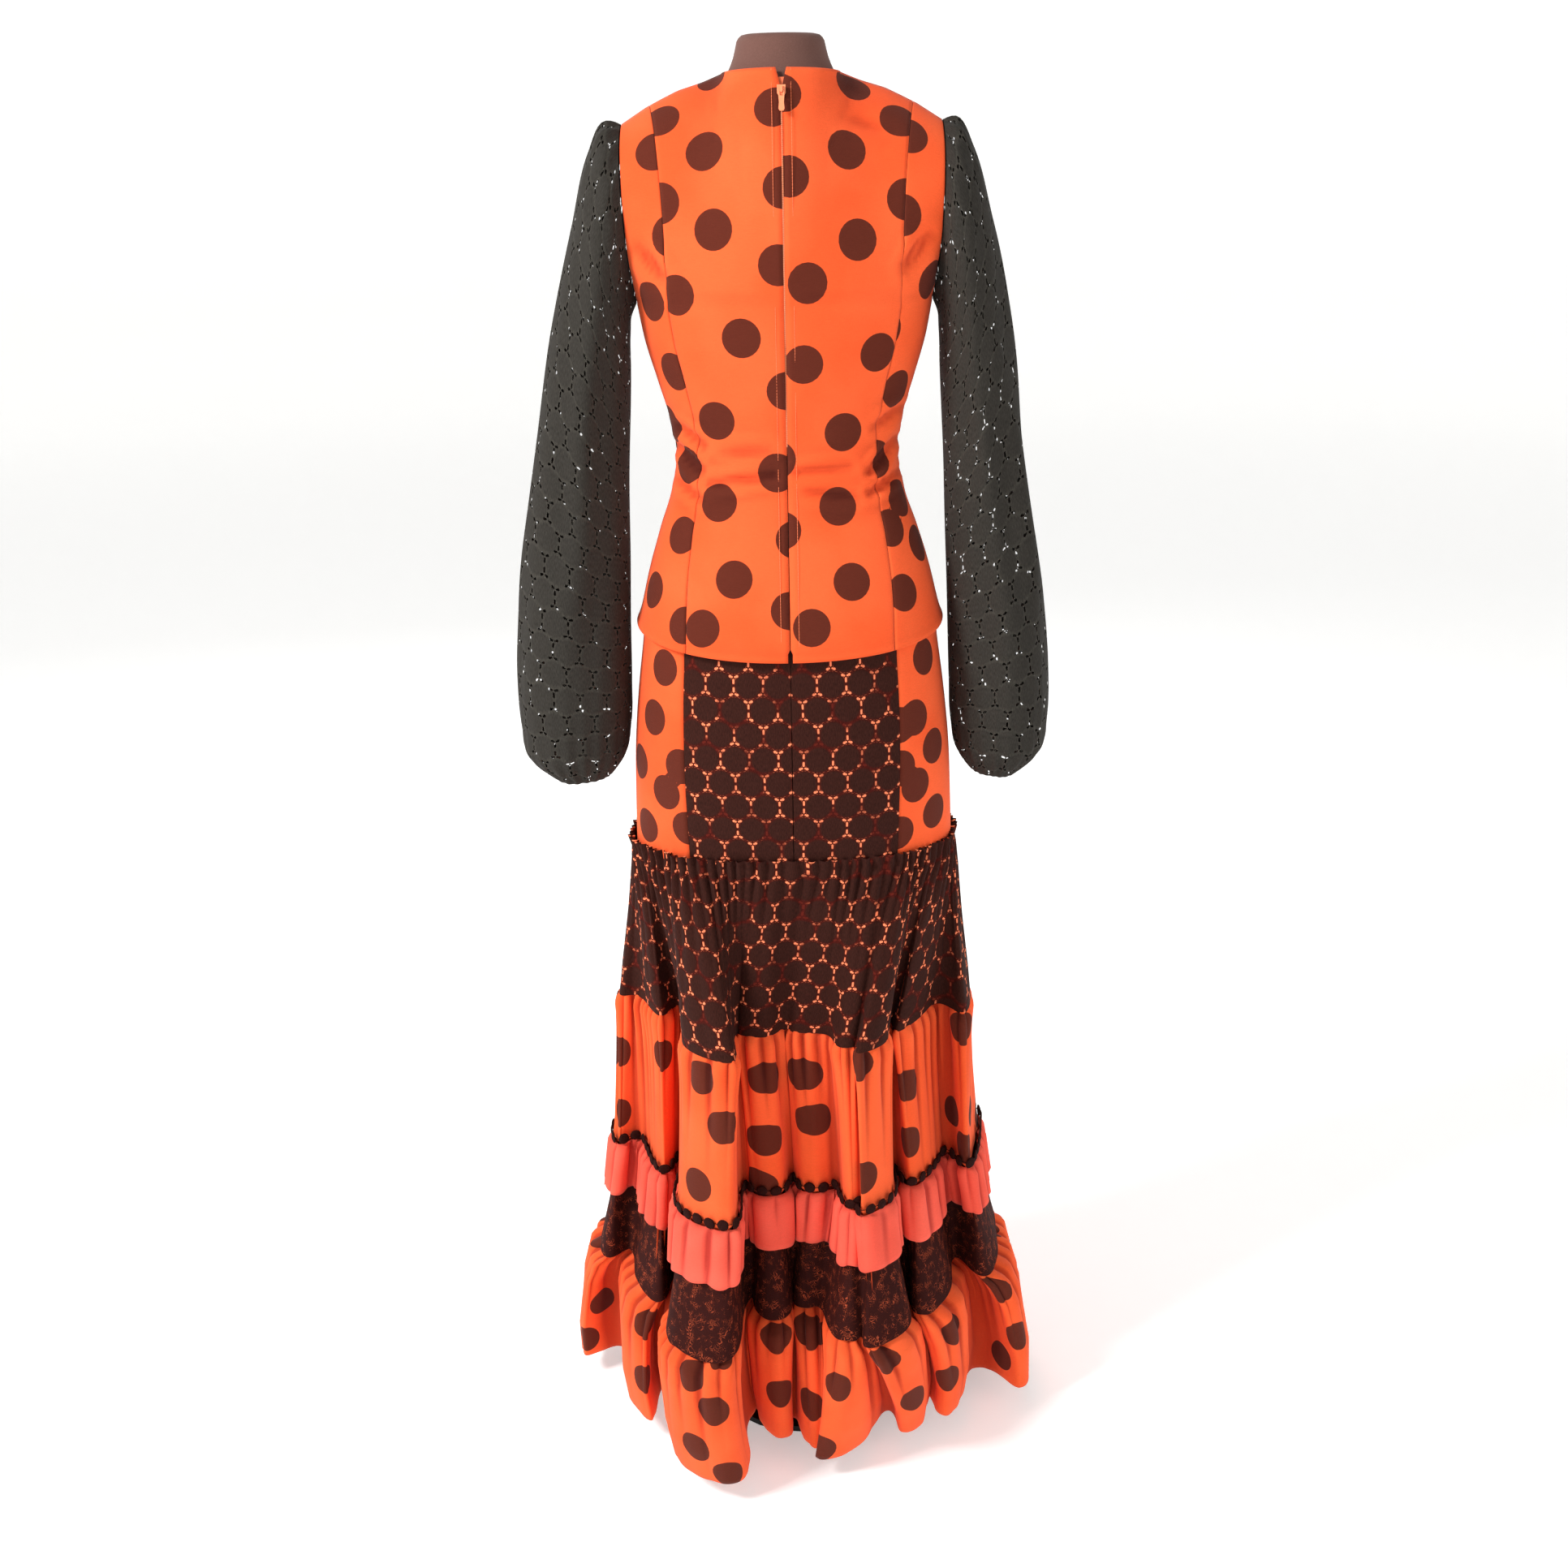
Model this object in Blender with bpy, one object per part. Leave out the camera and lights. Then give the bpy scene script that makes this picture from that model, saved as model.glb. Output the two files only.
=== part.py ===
"""A two-piece flamenco dress on a limbless dress form.

The top is a fitted bodice with princess seams, a centre back zip and long gathered sleeves
of black lace. The skirt has a hip yoke, a gathered lace tier, a dotted tier, a short plain
ruffle over a lace band, a braid, and a gathered hem ruffle. Each cut piece is a thin closed
wall. The dress form, its pole and its round foot carry the cloth.

Frame: metres, +Z up, origin on the floor under the pole. The wearer faces -Y, so the zip at
the back is at +Y, and the wearer's left is at +X.
"""

import math

import bpy
import numpy as np

# Cloth and seams
CLOTH = 0.0013
LACE = 0.0010
SEAM_GAP = 0.0003

# Heights of the main seams and edges
HEM_Z = 0.030
HEM_SEAM_Z = 0.200
LACE_BAND_LOW_Z = 0.1885
LACE_BAND_TOP_Z = 0.3285
CORAL_LOW_Z = 0.268
BRAID_Z = 0.330
TIER_TWO_TOP_Z = 0.520
TIER_ONE_TOP_Z = 0.7165
HEADER_Z = 0.731
UNDERARM_Z = 1.283
ZIP_END_Z = 1.150
SLIDER_Z = 1.474

# The top's lower edge: height at the centre, rise to the side and how late it rises
TOP_HEM = (0.946, 0.022, 1.6)
TOP_HEM_ROW_Z = 0.95
TOP_SLIT_Z = 0.955
# The widest part of shoulder blades and bust: outward swell at the centre and its gain to the side
BACK_SWELL = (0.021, 0.034)
FRONT_SWELL = (0.013, 0.037)
SWELL_AT_ARMHOLE = 0.35
SWELL_SIDEWAYS = 0.003
SWELL_UPWARD = (0.010, 0.016)
# Half openings at the centre back: at the neck, at the zip and at the slit in the hem
NECK_OPENING_Z = 1.49
NECK_OPENING = 0.0016
ZIP_OPENING = 0.0010
SLIT_OPENING = 0.0011

# The body under the top: height, half width, back depth and front depth of its outer face
TOP_SECTIONS = (
    (0.940, 0.1590, 0.1215, 0.1115),
    (0.972, 0.1560, 0.1165, 0.1065),
    (1.008, 0.1490, 0.107, 0.099),
    (1.058, 0.1340, 0.092, 0.090),
    (1.095, 0.1205, 0.080, 0.083),
    (1.133, 0.1125, 0.074, 0.080),
    (1.170, 0.1165, 0.077, 0.086),
    (1.210, 0.1285, 0.085, 0.103),
    (1.250, 0.1400, 0.094, 0.121),
    (1.283, 0.1460, 0.099, 0.117),
)

# The skirt yoke: height, half width, back depth and front depth of its outer face
YOKE_SECTIONS = (
    (0.7165, 0.1720, 0.108, 0.112),
    (0.770, 0.1705, 0.116, 0.114),
    (0.830, 0.1680, 0.121, 0.114),
    (0.900, 0.1610, 0.119, 0.110),
    (0.945, 0.1548, 0.1165, 0.1065),
    (0.990, 0.1497, 0.1080, 0.0990),
    (1.030, 0.1408, 0.0975, 0.0930),
    (1.065, 0.1295, 0.0870, 0.0865),
    (1.098, 0.1170, 0.0765, 0.0800),
)
SECTION_POWER = 2.0 / 2.3
# The body above this height reads its own rows, below it the lower edge's curve
HEM_ZONE_Z = 0.98

# Shoulder line from the neck point to the armhole: half width and height
SHOULDER = (
    (0.0570, 1.4910),
    (0.0750, 1.4840),
    (0.0990, 1.4770),
    (0.1155, 1.4695),
    (0.1300, 1.4625),
    (0.1425, 1.4550),
    (0.1540, 1.4480),
)
NECK_SHARE = 0.30
NECK_BACK = (0.056, 1.495)
NECK_FRONT = (-0.070, 1.463)
SHOULDER_Y = -0.002
NECK_INSET_DROP = 0.35
SHOULDER_INSET_SHARE = 0.4

# Princess seam: row height and its share of the way from centre to side
PRINCESS = (
    (0.940, 0.420),
    (1.040, 0.480),
    (1.133, 0.545),
    (1.210, 0.525),
    (1.283, 0.530),
)
PRINCESS_AT_SHOULDER = 0.80
PRINCESS_CURVE = 1.3

# Panel seam of the yoke, in the same columns
YOKE_SEAM = ((0.7165, 0.405), (0.830, 0.430), (0.940, 0.460), (1.098, 0.520))

# Where the cloth is divided: heights below the underarm, rises above it, heights of the yoke,
# and shares from the centre to the panel seam and from there to the side
LOWER_ROWS = (1.008, 1.058, 1.095, 1.133, 1.170, 1.210, 1.250, 1.283)
UPPER_ROWS = (0.20, 0.40, 0.60, 0.78, 0.91, 1.0)
YOKE_ROWS = (0.7168, 0.770, 0.830, 0.900, 0.955, 1.008, 1.058, 1.095)
CENTRE_COLUMNS = (0.0, 0.125, 0.25, 0.375, 0.69, 1.0)
SIDE_COLUMNS = (0.36, 0.70, 1.0)

# Sleeve rings from shoulder to cuff: outer edge height, inner edge height, outer and inner
# half widths on the left arm, the same on the right arm, and half depth
SLEEVE_RINGS = (
    (1.4500, 1.2720, 0.1690, 0.1520, 0.1670, 0.1515, 0.0600),
    (1.4230, 1.2520, 0.1870, 0.1545, 0.1850, 0.1535, 0.0635),
    (1.3560, 1.2200, 0.2080, 0.1560, 0.2050, 0.1550, 0.0620),
    (1.2750, 1.1700, 0.2290, 0.1590, 0.2190, 0.1570, 0.0590),
    (1.1700, 1.0950, 0.2520, 0.1640, 0.2340, 0.1610, 0.0580),
    (1.0700, 1.0150, 0.2700, 0.1665, 0.2490, 0.1645, 0.0600),
    (0.9850, 0.9500, 0.2820, 0.1680, 0.2650, 0.1665, 0.0640),
    (0.9150, 0.8950, 0.2900, 0.1700, 0.2735, 0.1690, 0.0660),
    (0.8500, 0.8500, 0.2890, 0.1730, 0.2735, 0.1715, 0.0640),
    (0.8180, 0.8180, 0.2830, 0.1800, 0.2670, 0.1780, 0.0570),
    (0.7960, 0.7960, 0.2590, 0.1950, 0.2440, 0.1930, 0.0400),
)
SLEEVE_POINTS = 24
SLEEVE_OUTSET = 0.0009
# Gathers of a sleeve as a share of its ring: at the cuff, just above it and at the cap
CUFF_CRIMP = 0.030
FOREARM_CRIMP = 0.012
CAP_CRIMP = 0.012

# Folds of the skirt in plan, one row each, from the left side round the back to the right
# side and back round the front. Columns: crest x, crest y at the levels of SKIRT_LEVELS
SKIRT_LEVELS = (0.520, 0.328, 0.195, 0.030)
CRESTS = (
    (0.203, -0.030, 0.216, -0.022, 0.235, 0.002, 0.264, -0.015),
    (0.158, 0.024, 0.163, 0.038, 0.176, 0.086, 0.192, 0.093),
    (0.095, 0.137, 0.104, 0.160, 0.113, 0.207, 0.108, 0.216),
    (0.048, 0.092, 0.035, 0.106, 0.031, 0.145, 0.031, 0.151),
    (-0.012, 0.085, -0.019, 0.103, -0.006, 0.122, -0.010, 0.172),
    (-0.050, 0.122, -0.056, 0.137, -0.047, 0.186, -0.040, 0.185),
    (-0.080, 0.126, -0.085, 0.139, -0.095, 0.188, -0.128, 0.139),
    (-0.123, 0.070, -0.138, 0.077, -0.152, 0.122, -0.180, 0.097),
    (-0.192, 0.025, -0.201, 0.031, -0.222, 0.043, -0.252, 0.042),
    (-0.188, -0.070, -0.212, -0.085, -0.232, -0.095, -0.262, -0.105),
    (-0.140, -0.105, -0.158, -0.128, -0.172, -0.150, -0.190, -0.165),
    (-0.085, -0.122, -0.092, -0.158, -0.100, -0.185, -0.112, -0.205),
    (-0.030, -0.118, -0.030, -0.142, -0.030, -0.168, -0.036, -0.185),
    (0.022, -0.124, 0.028, -0.160, 0.034, -0.190, 0.036, -0.210),
    (0.078, -0.116, 0.086, -0.140, 0.096, -0.165, 0.104, -0.180),
    (0.132, -0.108, 0.150, -0.135, 0.165, -0.158, 0.178, -0.178),
    (0.182, -0.080, 0.205, -0.095, 0.226, -0.105, 0.250, -0.115),
)
# The valley that follows each crest, in the same columns
VALLEYS = (
    (0.182, -0.022, 0.186, -0.032, 0.202, -0.012, 0.219, -0.035),
    (0.128, 0.012, 0.136, 0.020, 0.147, 0.050, 0.160, 0.045),
    (0.066, 0.082, 0.062, 0.086, 0.058, 0.095, 0.056, 0.088),
    (0.012, 0.072, 0.006, 0.062, 0.010, 0.085, 0.012, 0.105),
    (-0.036, 0.088, -0.042, 0.082, -0.026, 0.112, -0.022, 0.168),
    (-0.066, 0.118, -0.071, 0.130, -0.071, 0.176, -0.096, 0.092),
    (-0.103, 0.058, -0.108, 0.050, -0.122, 0.086, -0.150, 0.072),
    (-0.158, 0.010, -0.170, 0.015, -0.180, 0.015, -0.212, 0.018),
    (-0.196, -0.045, -0.215, -0.050, -0.238, -0.055, -0.268, -0.060),
    (-0.160, -0.078, -0.178, -0.088, -0.196, -0.098, -0.215, -0.105),
    (-0.112, -0.096, -0.122, -0.108, -0.132, -0.120, -0.146, -0.128),
    (-0.058, -0.098, -0.060, -0.104, -0.062, -0.118, -0.070, -0.128),
    (-0.004, -0.100, -0.002, -0.108, 0.000, -0.122, 0.000, -0.132),
    (0.050, -0.098, 0.056, -0.102, 0.062, -0.114, 0.068, -0.124),
    (0.106, -0.092, 0.118, -0.098, 0.130, -0.110, 0.140, -0.118),
    (0.158, -0.082, 0.178, -0.085, 0.198, -0.092, 0.216, -0.098),
    (0.196, -0.056, 0.219, -0.060, 0.240, -0.058, 0.268, -0.075),
)
CREST_SPREAD = 0.25
VALLEY_SPREAD = 0.10
FOLD_POINTS = 400
FOLD_ROUNDING = 18
FOLD_START_DEGREES = -9.0
SKIRT_POINTS = 100

# How far the hem ruffle puffs out: share of its drop and outward distance
RUFFLE_PUFF = (
    (0.00, 0.0),
    (0.10, 0.011),
    (0.30, 0.015),
    (0.53, 0.013),
    (0.75, 0.010),
    (1.00, 0.0),
)

# Dress form, pole and foot
FORM_CLEARANCE = 0.0055
FORM_LOW_Z = 0.872
NECK_ROOT = (0.057, 0.062)
NECK_ROOT_DROP = 0.014
NECK_RINGS = (
    (1.4945, 0.0500, 0.0545, -0.0065),
    (1.4985, 0.0480, 0.0530, -0.0070),
    (1.5050, 0.0455, 0.0500, -0.0085),
    (1.5190, 0.0420, 0.0465, -0.0100),
    (1.5235, 0.0385, 0.0430, -0.0100),
    (1.5255, 0.0290, 0.0330, -0.0100),
)
POLE_RADIUS = 0.014
FOOT_RADIUS = 0.105
FOOT_HEIGHT = 0.016
FOOT_PROFILE = (
    (FOOT_RADIUS - 0.002, 0.0),
    (FOOT_RADIUS, 0.002),
    (FOOT_RADIUS, 0.009),
    (0.075, 0.013),
    (0.024, FOOT_HEIGHT),
)
POLE_SIDES = 16
FOOT_SIDES = 24

# Zip tape: distance under the cloth, half width, thickness and trims at its two ends
TAPE_DEPTH = 0.0016
TAPE_HALF_WIDTH = 0.0045
TAPE_WALL = 0.0010
TAPE_TRIMS = (0.05, 0.30)

# Zip slider and pull tab
SLIDER_SIZE = (0.0080, 0.0100, 0.0024)
BAIL_SIZE = (0.0020, 0.0068, 0.0028)
BAIL_WALL = 0.0012
TAB_SIZE = (0.0056, 0.0200, 0.0009)
TAB_EYE = (0.0031, 0.0053)
TAB_BAR_HALF = 0.00045
TAB_PIVOT = (0.0014, 0.0009)
SLIDER_SINK = 0.0005
SLIDER_TAPER = 0.62
BAIL_FOOT = 0.0004
BAIL_CHAMFER = 0.0008


def column(table, index):
    """One column of a table as an array."""
    return np.array([row[index] for row in table])


def smooth_read(table, index, at):
    """Reads a table column at a height with a smooth curve through its rows."""
    keys = column(table, 0)
    values = column(table, index)
    slopes = np.gradient(values, keys)
    at = float(np.clip(at, keys[0], keys[-1]))
    i = int(np.clip(np.searchsorted(keys, at) - 1, 0, len(keys) - 2))
    span = keys[i + 1] - keys[i]
    t = (at - keys[i]) / span
    a = values[i] * (2 * t**3 - 3 * t**2 + 1) + values[i + 1] * (3 * t**2 - 2 * t**3)
    return a + span * (slopes[i] * (t**3 - 2 * t**2 + t) + slopes[i + 1] * (t**3 - t**2))


def section_point(table, z, angle, inset):
    """A point on a body section at a height and an angle from the left side."""
    half = smooth_read(table, 1, z) - inset
    deep = smooth_read(table, 2 if math.sin(angle) >= 0 else 3, z) - inset
    c = math.cos(angle)
    s = math.sin(angle)
    x = half * math.copysign(abs(c) ** SECTION_POWER, c)
    y = deep * math.copysign(abs(s) ** SECTION_POWER, s)
    return np.array([x, y, z])


def upper_edge(share, back, inset):
    """The neckline and then the shoulder line, from centre to armhole."""
    if share <= NECK_SHARE:
        a = 0.5 * math.pi * share / NECK_SHARE
        depth, low = NECK_BACK if back else NECK_FRONT
        y = SHOULDER_Y + (depth - SHOULDER_Y) * math.cos(a)
        z = SHOULDER[0][1] + (low - SHOULDER[0][1]) * math.cos(a)
        x = SHOULDER[0][0] * math.sin(a)
        aside = math.copysign(math.cos(a), depth)
        pull = inset * np.array([math.sin(a), aside, NECK_INSET_DROP])
        return np.array([x, y, z]) - pull
    along = (share - NECK_SHARE) / (1 - NECK_SHARE)
    x = SHOULDER[0][0] + along * (SHOULDER[-1][0] - SHOULDER[0][0])
    z = float(np.interp(x, column(SHOULDER, 0), column(SHOULDER, 1)))
    inward = SHOULDER_INSET_SHARE + (1 - SHOULDER_INSET_SHARE) * along
    return np.array([x, SHOULDER_Y, z]) - inset * np.array([inward, 0.0, 1.0])


def upper_point(share, back, rise, inset):
    """A point on the top above the underarm, rise 0 at the underarm and 1 at the upper edge."""
    angle = 0.5 * math.pi * (1 - share)
    low = section_point(TOP_SECTIONS, UNDERARM_Z, angle if back else -angle, inset)
    high = upper_edge(share, back, inset)
    swell = 4 * rise * (1 - rise)
    side = 1.0 if back else -1.0
    centre, gain = BACK_SWELL if back else FRONT_SWELL
    bulge = centre + (gain - inset) * share**2
    point = low + (high - low) * rise
    point[1] += side * bulge * swell ** (1 - SWELL_AT_ARMHOLE * share**2)
    point[0] += SWELL_SIDEWAYS * share * swell
    point[2] += (SWELL_UPWARD[0] + SWELL_UPWARD[1] * math.sin(math.pi * share)) * swell
    return point


def top_hem_z(share):
    """The top's lower edge dips at the centre."""
    low, gain, curve = TOP_HEM
    return low + gain * share**curve


def princess_share(z, rise):
    """Share of the way from centre to side at which the princess seam runs."""
    low = float(np.interp(z, column(PRINCESS, 0), column(PRINCESS, 1)))
    return low + (PRINCESS_AT_SHOULDER - PRINCESS[-1][1]) * rise**PRINCESS_CURVE


def half_shares(seam):
    """Column shares from the centre to the side, with the panel seam on column five."""
    shares = [seam * c for c in CENTRE_COLUMNS]
    shares += [seam + (1 - seam) * c for c in SIDE_COLUMNS]
    return shares


def top_row(back, z, rise, inset):
    """One row of the back or the front, from the left side to the right side."""
    shares = half_shares(princess_share(z, rise))
    right = []
    for share in shares:
        if rise > 0:
            point = upper_point(share, back, rise, inset)
        else:
            angle = 0.5 * math.pi * (1 - share)
            height = z if z > HEM_ZONE_Z else top_hem_z(share)
            point = section_point(TOP_SECTIONS, height, angle if back else -angle, inset)
        right.append(point)
    left = [p.copy() for p in right[:0:-1]]
    for p in right[1:]:
        p[0] = -p[0]
    return left + right


def top_grid(back, inset):
    """Rows from hem to shoulder, columns from the left side to the right side."""
    rows = [top_row(back, TOP_HEM_ROW_Z, 0.0, inset)]
    rows += [top_row(back, z, 0.0, inset) for z in LOWER_ROWS]
    rows += [top_row(back, UNDERARM_Z, rise, inset) for rise in UPPER_ROWS]
    return np.array(rows)


def grid_normals(grid, closed, outward):
    """Unit normals of a grid of points, turned to face outward."""
    if closed:
        across = np.roll(grid, -1, axis=1) - np.roll(grid, 1, axis=1)
    else:
        across = np.gradient(grid, axis=1)
    along = np.gradient(grid, axis=0)
    normal = np.cross(across, along) * outward
    size = np.linalg.norm(normal, axis=2, keepdims=True)
    return normal / np.maximum(size, 1e-12)


def paint(name, colour, rough, metal):
    """A Principled material."""
    material = bpy.data.materials.new(name)
    material.use_nodes = True
    node = material.node_tree.nodes["Principled BSDF"]
    node.inputs["Base Color"].default_value = (*colour, 1.0)
    node.inputs["Roughness"].default_value = rough
    node.inputs["Metallic"].default_value = metal
    return material


def add_object(name, verts, faces, material, origin=(0.0, 0.0, 0.0)):
    """A mesh object whose own origin is at the given place."""
    mesh = bpy.data.meshes.new(name)
    local = [tuple(np.array(v) - np.array(origin)) for v in verts]
    mesh.from_pydata(local, [], faces)
    mesh.validate()
    mesh.materials.append(material)
    piece = bpy.data.objects.new(name, mesh)
    piece.location = origin
    bpy.context.scene.collection.objects.link(piece)
    return piece


def signed_volume(verts, faces):
    """Volume of a closed mesh, negative when it faces inward."""
    total = 0.0
    for face in faces:
        a = verts[face[0]]
        for i in range(1, len(face) - 1):
            total += float(np.dot(a, np.cross(verts[face[i]], verts[face[i + 1]])))
    return total


def wall_between(name, outer, inner, closed, material):
    """A closed wall between an outer and an inner grid of points."""
    rows, cols = outer.shape[:2]
    verts = np.concatenate([outer.reshape(-1, 3), inner.reshape(-1, 3)])
    shift = rows * cols
    faces = []
    last = cols if closed else cols - 1
    for r in range(rows - 1):
        for c in range(last):
            d = (c + 1) % cols
            a, b, e, f = r * cols + c, r * cols + d, (r + 1) * cols + d, (r + 1) * cols + c
            for half in ((a, b, e), (a, e, f)):
                faces.append(half)
                faces.append(tuple(shift + i for i in reversed(half)))
    for c in range(last):
        d = (c + 1) % cols
        faces.append((d, c, shift + c, shift + d))
        e = (rows - 1) * cols
        faces.append((e + c, e + d, shift + e + d, shift + e + c))
    if not closed:
        for r in range(rows - 1):
            a = r * cols
            b = (r + 1) * cols
            faces.append((a, b, shift + b, shift + a))
            faces.append((b + cols - 1, a + cols - 1, shift + a + cols - 1, shift + b + cols - 1))
    if signed_volume(verts, faces) < 0:
        faces = [tuple(reversed(face)) for face in faces]
    return add_object(name, verts, faces, material)


def trimmed(grid, left, right, low, high):
    """Moves the edges of an open grid inward by the given gaps."""
    out = grid.copy()
    for edge, near, gap in ((0, 1, left), (-1, -2, right)):
        step = grid[:, near] - grid[:, edge]
        out[:, edge] += step / np.linalg.norm(step, axis=1, keepdims=True) * np.reshape(gap, (-1, 1))
    for edge, near, gap in ((0, 1, low), (-1, -2, high)):
        step = grid[near] - grid[edge]
        out[edge] += step / np.linalg.norm(step, axis=1, keepdims=True) * gap
    return out


def centre_gap(rows):
    """Half the opening at the centre back at each height."""
    gaps = []
    for z in rows:
        if z > NECK_OPENING_Z:
            gaps.append(NECK_OPENING)
        elif z > ZIP_END_Z:
            gaps.append(ZIP_OPENING)
        elif z < TOP_SLIT_Z:
            gaps.append(SLIT_OPENING)
        else:
            gaps.append(0.5 * SEAM_GAP)
    return np.array(gaps)


def panel(name, grid, normals, first, last, gaps, wall, material):
    """A cut panel: a run of columns of a garment grid, trimmed at its seams."""
    outer = grid[:, first : last + 1]
    facing = normals[:, first : last + 1]
    inner = outer - facing * wall
    build = trimmed(outer, *gaps)
    return wall_between(name, build, inner + (build - outer), False, material)


def build_top(cloth):
    """The seven panels of the fitted top."""
    back = top_grid(True, 0.0)
    front = top_grid(False, 0.0)
    nb = grid_normals(back, False, 1.0)
    nf = grid_normals(front, False, -1.0)
    under = len(LOWER_ROWS)
    for edge in (0, -1):
        mean = nb[: under + 1, edge] + nf[: under + 1, edge]
        mean /= np.linalg.norm(mean, axis=1, keepdims=True)
        nb[: under + 1, edge] = mean
        nf[: under + 1, edge] = mean
    meet = np.linalg.norm(back[-1] - front[-1], axis=1) < 1e-6
    mean = nb[-1] + nf[-1]
    mean /= np.linalg.norm(mean, axis=1, keepdims=True)
    nb[-1][meet] = mean[meet]
    nf[-1][meet] = mean[meet]
    half = SEAM_GAP / 2
    side = np.where(np.arange(len(back)) <= under, half, 0.0)
    cb = centre_gap(back[:, 8, 2])
    panel("top_back_side_left", back, nb, 0, 3, (side, half, 0.0, half), CLOTH, cloth)
    panel("top_back_left", back, nb, 3, 8, (half, cb, 0.0, half), CLOTH, cloth)
    panel("top_back_right", back, nb, 8, 13, (cb, half, 0.0, half), CLOTH, cloth)
    panel("top_back_side_right", back, nb, 13, 16, (half, side, 0.0, half), CLOTH, cloth)
    panel("top_front_side_left", front, nf, 0, 3, (side, half, 0.0, half), CLOTH, cloth)
    panel("top_front", front, nf, 3, 13, (half, half, 0.0, half), CLOTH, cloth)
    panel("top_front_side_right", front, nf, 13, 16, (half, side, 0.0, half), CLOTH, cloth)


def armhole_point(turn, outset):
    """A point on the left armhole, turn 0 at the shoulder, then over the back to the underarm."""
    rise = 0.5 * (1 + math.cos(turn))
    point = upper_point(1.0, math.sin(turn) >= 0, max(rise, 1e-6), 0.0)
    point[0] += outset
    return point


def sleeve_grid(left):
    """Rings of a sleeve from the armhole to the cuff."""
    out_col, in_col = (2, 3) if left else (4, 5)
    turns = [2 * math.pi * k / SLEEVE_POINTS for k in range(SLEEVE_POINTS)]
    rings = [[armhole_point(turn, SLEEVE_OUTSET) for turn in turns]]
    for i, row in enumerate(SLEEVE_RINGS):
        outer = np.array([row[out_col], 0.0, row[0]])
        inner = np.array([row[in_col], 0.0, row[1]])
        middle = 0.5 * (outer + inner)
        reach = 0.5 * (outer - inner)
        deep = np.array([0.0, row[6], 0.0])
        ring = []
        for k, turn in enumerate(turns):
            crimp = 0.0
            if i == len(SLEEVE_RINGS) - 1:
                crimp = CUFF_CRIMP
            elif i == len(SLEEVE_RINGS) - 2:
                crimp = FOREARM_CRIMP
            elif i == 0 and math.cos(turn) > 0:
                crimp = CAP_CRIMP
            wave = 1.0 + crimp * (-1) ** k
            ring.append(middle + (reach * math.cos(turn) + deep * math.sin(turn)) * wave)
        rings.append(ring)
    grid = np.array(rings)
    if not left:
        grid[:, :, 0] *= -1
    return grid


def build_sleeves(lace):
    """Both sleeves, wide above gathered cuffs."""
    for name, left in (("sleeve_left", True), ("sleeve_right", False)):
        grid = sleeve_grid(left)
        normals = grid_normals(grid, True, -1.0 if left else 1.0)
        wall_between(name, grid, grid - normals * LACE, True, lace)


def fold_plan(level):
    """Control points of the skirt's plan curve at one of its levels."""
    points = []
    count = len(CRESTS)
    for i in range(count):
        crest = np.array(CRESTS[i][2 * level : 2 * level + 2])
        before = np.array(VALLEYS[i - 1][2 * level : 2 * level + 2])
        after = np.array(VALLEYS[i][2 * level : 2 * level + 2])
        follow = np.array(CRESTS[(i + 1) % count][2 * level : 2 * level + 2])
        reach = (after - before) * CREST_SPREAD
        dip = (follow - crest) * VALLEY_SPREAD
        points += [crest - reach, crest + reach, after - dip, after + dip]
    return np.array(points)


def periodic_curve(knots, points, at):
    """A smooth closed curve through points at rising knots in 0 to 1, read at many places."""
    count = len(points)
    ends = np.append(knots[1:], 1.0)
    i = np.clip(np.searchsorted(knots, at, side="right") - 1, 0, count - 1)
    span = (ends - knots)[i]
    t = ((at - knots[i]) / span)[:, None]
    gaps = ends - knots
    before = np.roll(gaps, 1)
    slopes = (np.roll(points, -1, axis=0) - np.roll(points, 1, axis=0)) / (gaps + before)[:, None]
    j = (i + 1) % count
    return (
        points[i] * (2 * t**3 - 3 * t**2 + 1)
        + points[j] * (3 * t**2 - 2 * t**3)
        + slopes[i] * span[:, None] * (t**3 - 2 * t**2 + t)
        + slopes[j] * span[:, None] * (t**3 - t**2)
    )


def cloth_knots():
    """Where each control point lies along the cloth, from its spacing at the lower levels."""
    total = np.zeros(4 * len(CRESTS))
    for level in (1, 2, 3):
        plan = fold_plan(level)
        total += np.linalg.norm(np.roll(plan, -1, axis=0) - plan, axis=1)
    run = np.concatenate([[0.0], np.cumsum(total)])
    return run[:-1] / run[-1]


def yoke_plan(shares):
    """The yoke's lower edge in plan, matched to the cloth of the first tier."""
    angles = math.radians(FOLD_START_DEGREES) + 2 * math.pi * shares
    return np.array([section_point(YOKE_SECTIONS, TIER_ONE_TOP_Z, a, 0.0)[:2] for a in angles])


def rounded(ring, passes):
    """Rounds a closed curve a little, as cloth does at the bottom of a fold."""
    for _ in range(passes):
        ring = 0.25 * np.roll(ring, 1, axis=0) + 0.5 * ring + 0.25 * np.roll(ring, -1, axis=0)
    return ring


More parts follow.
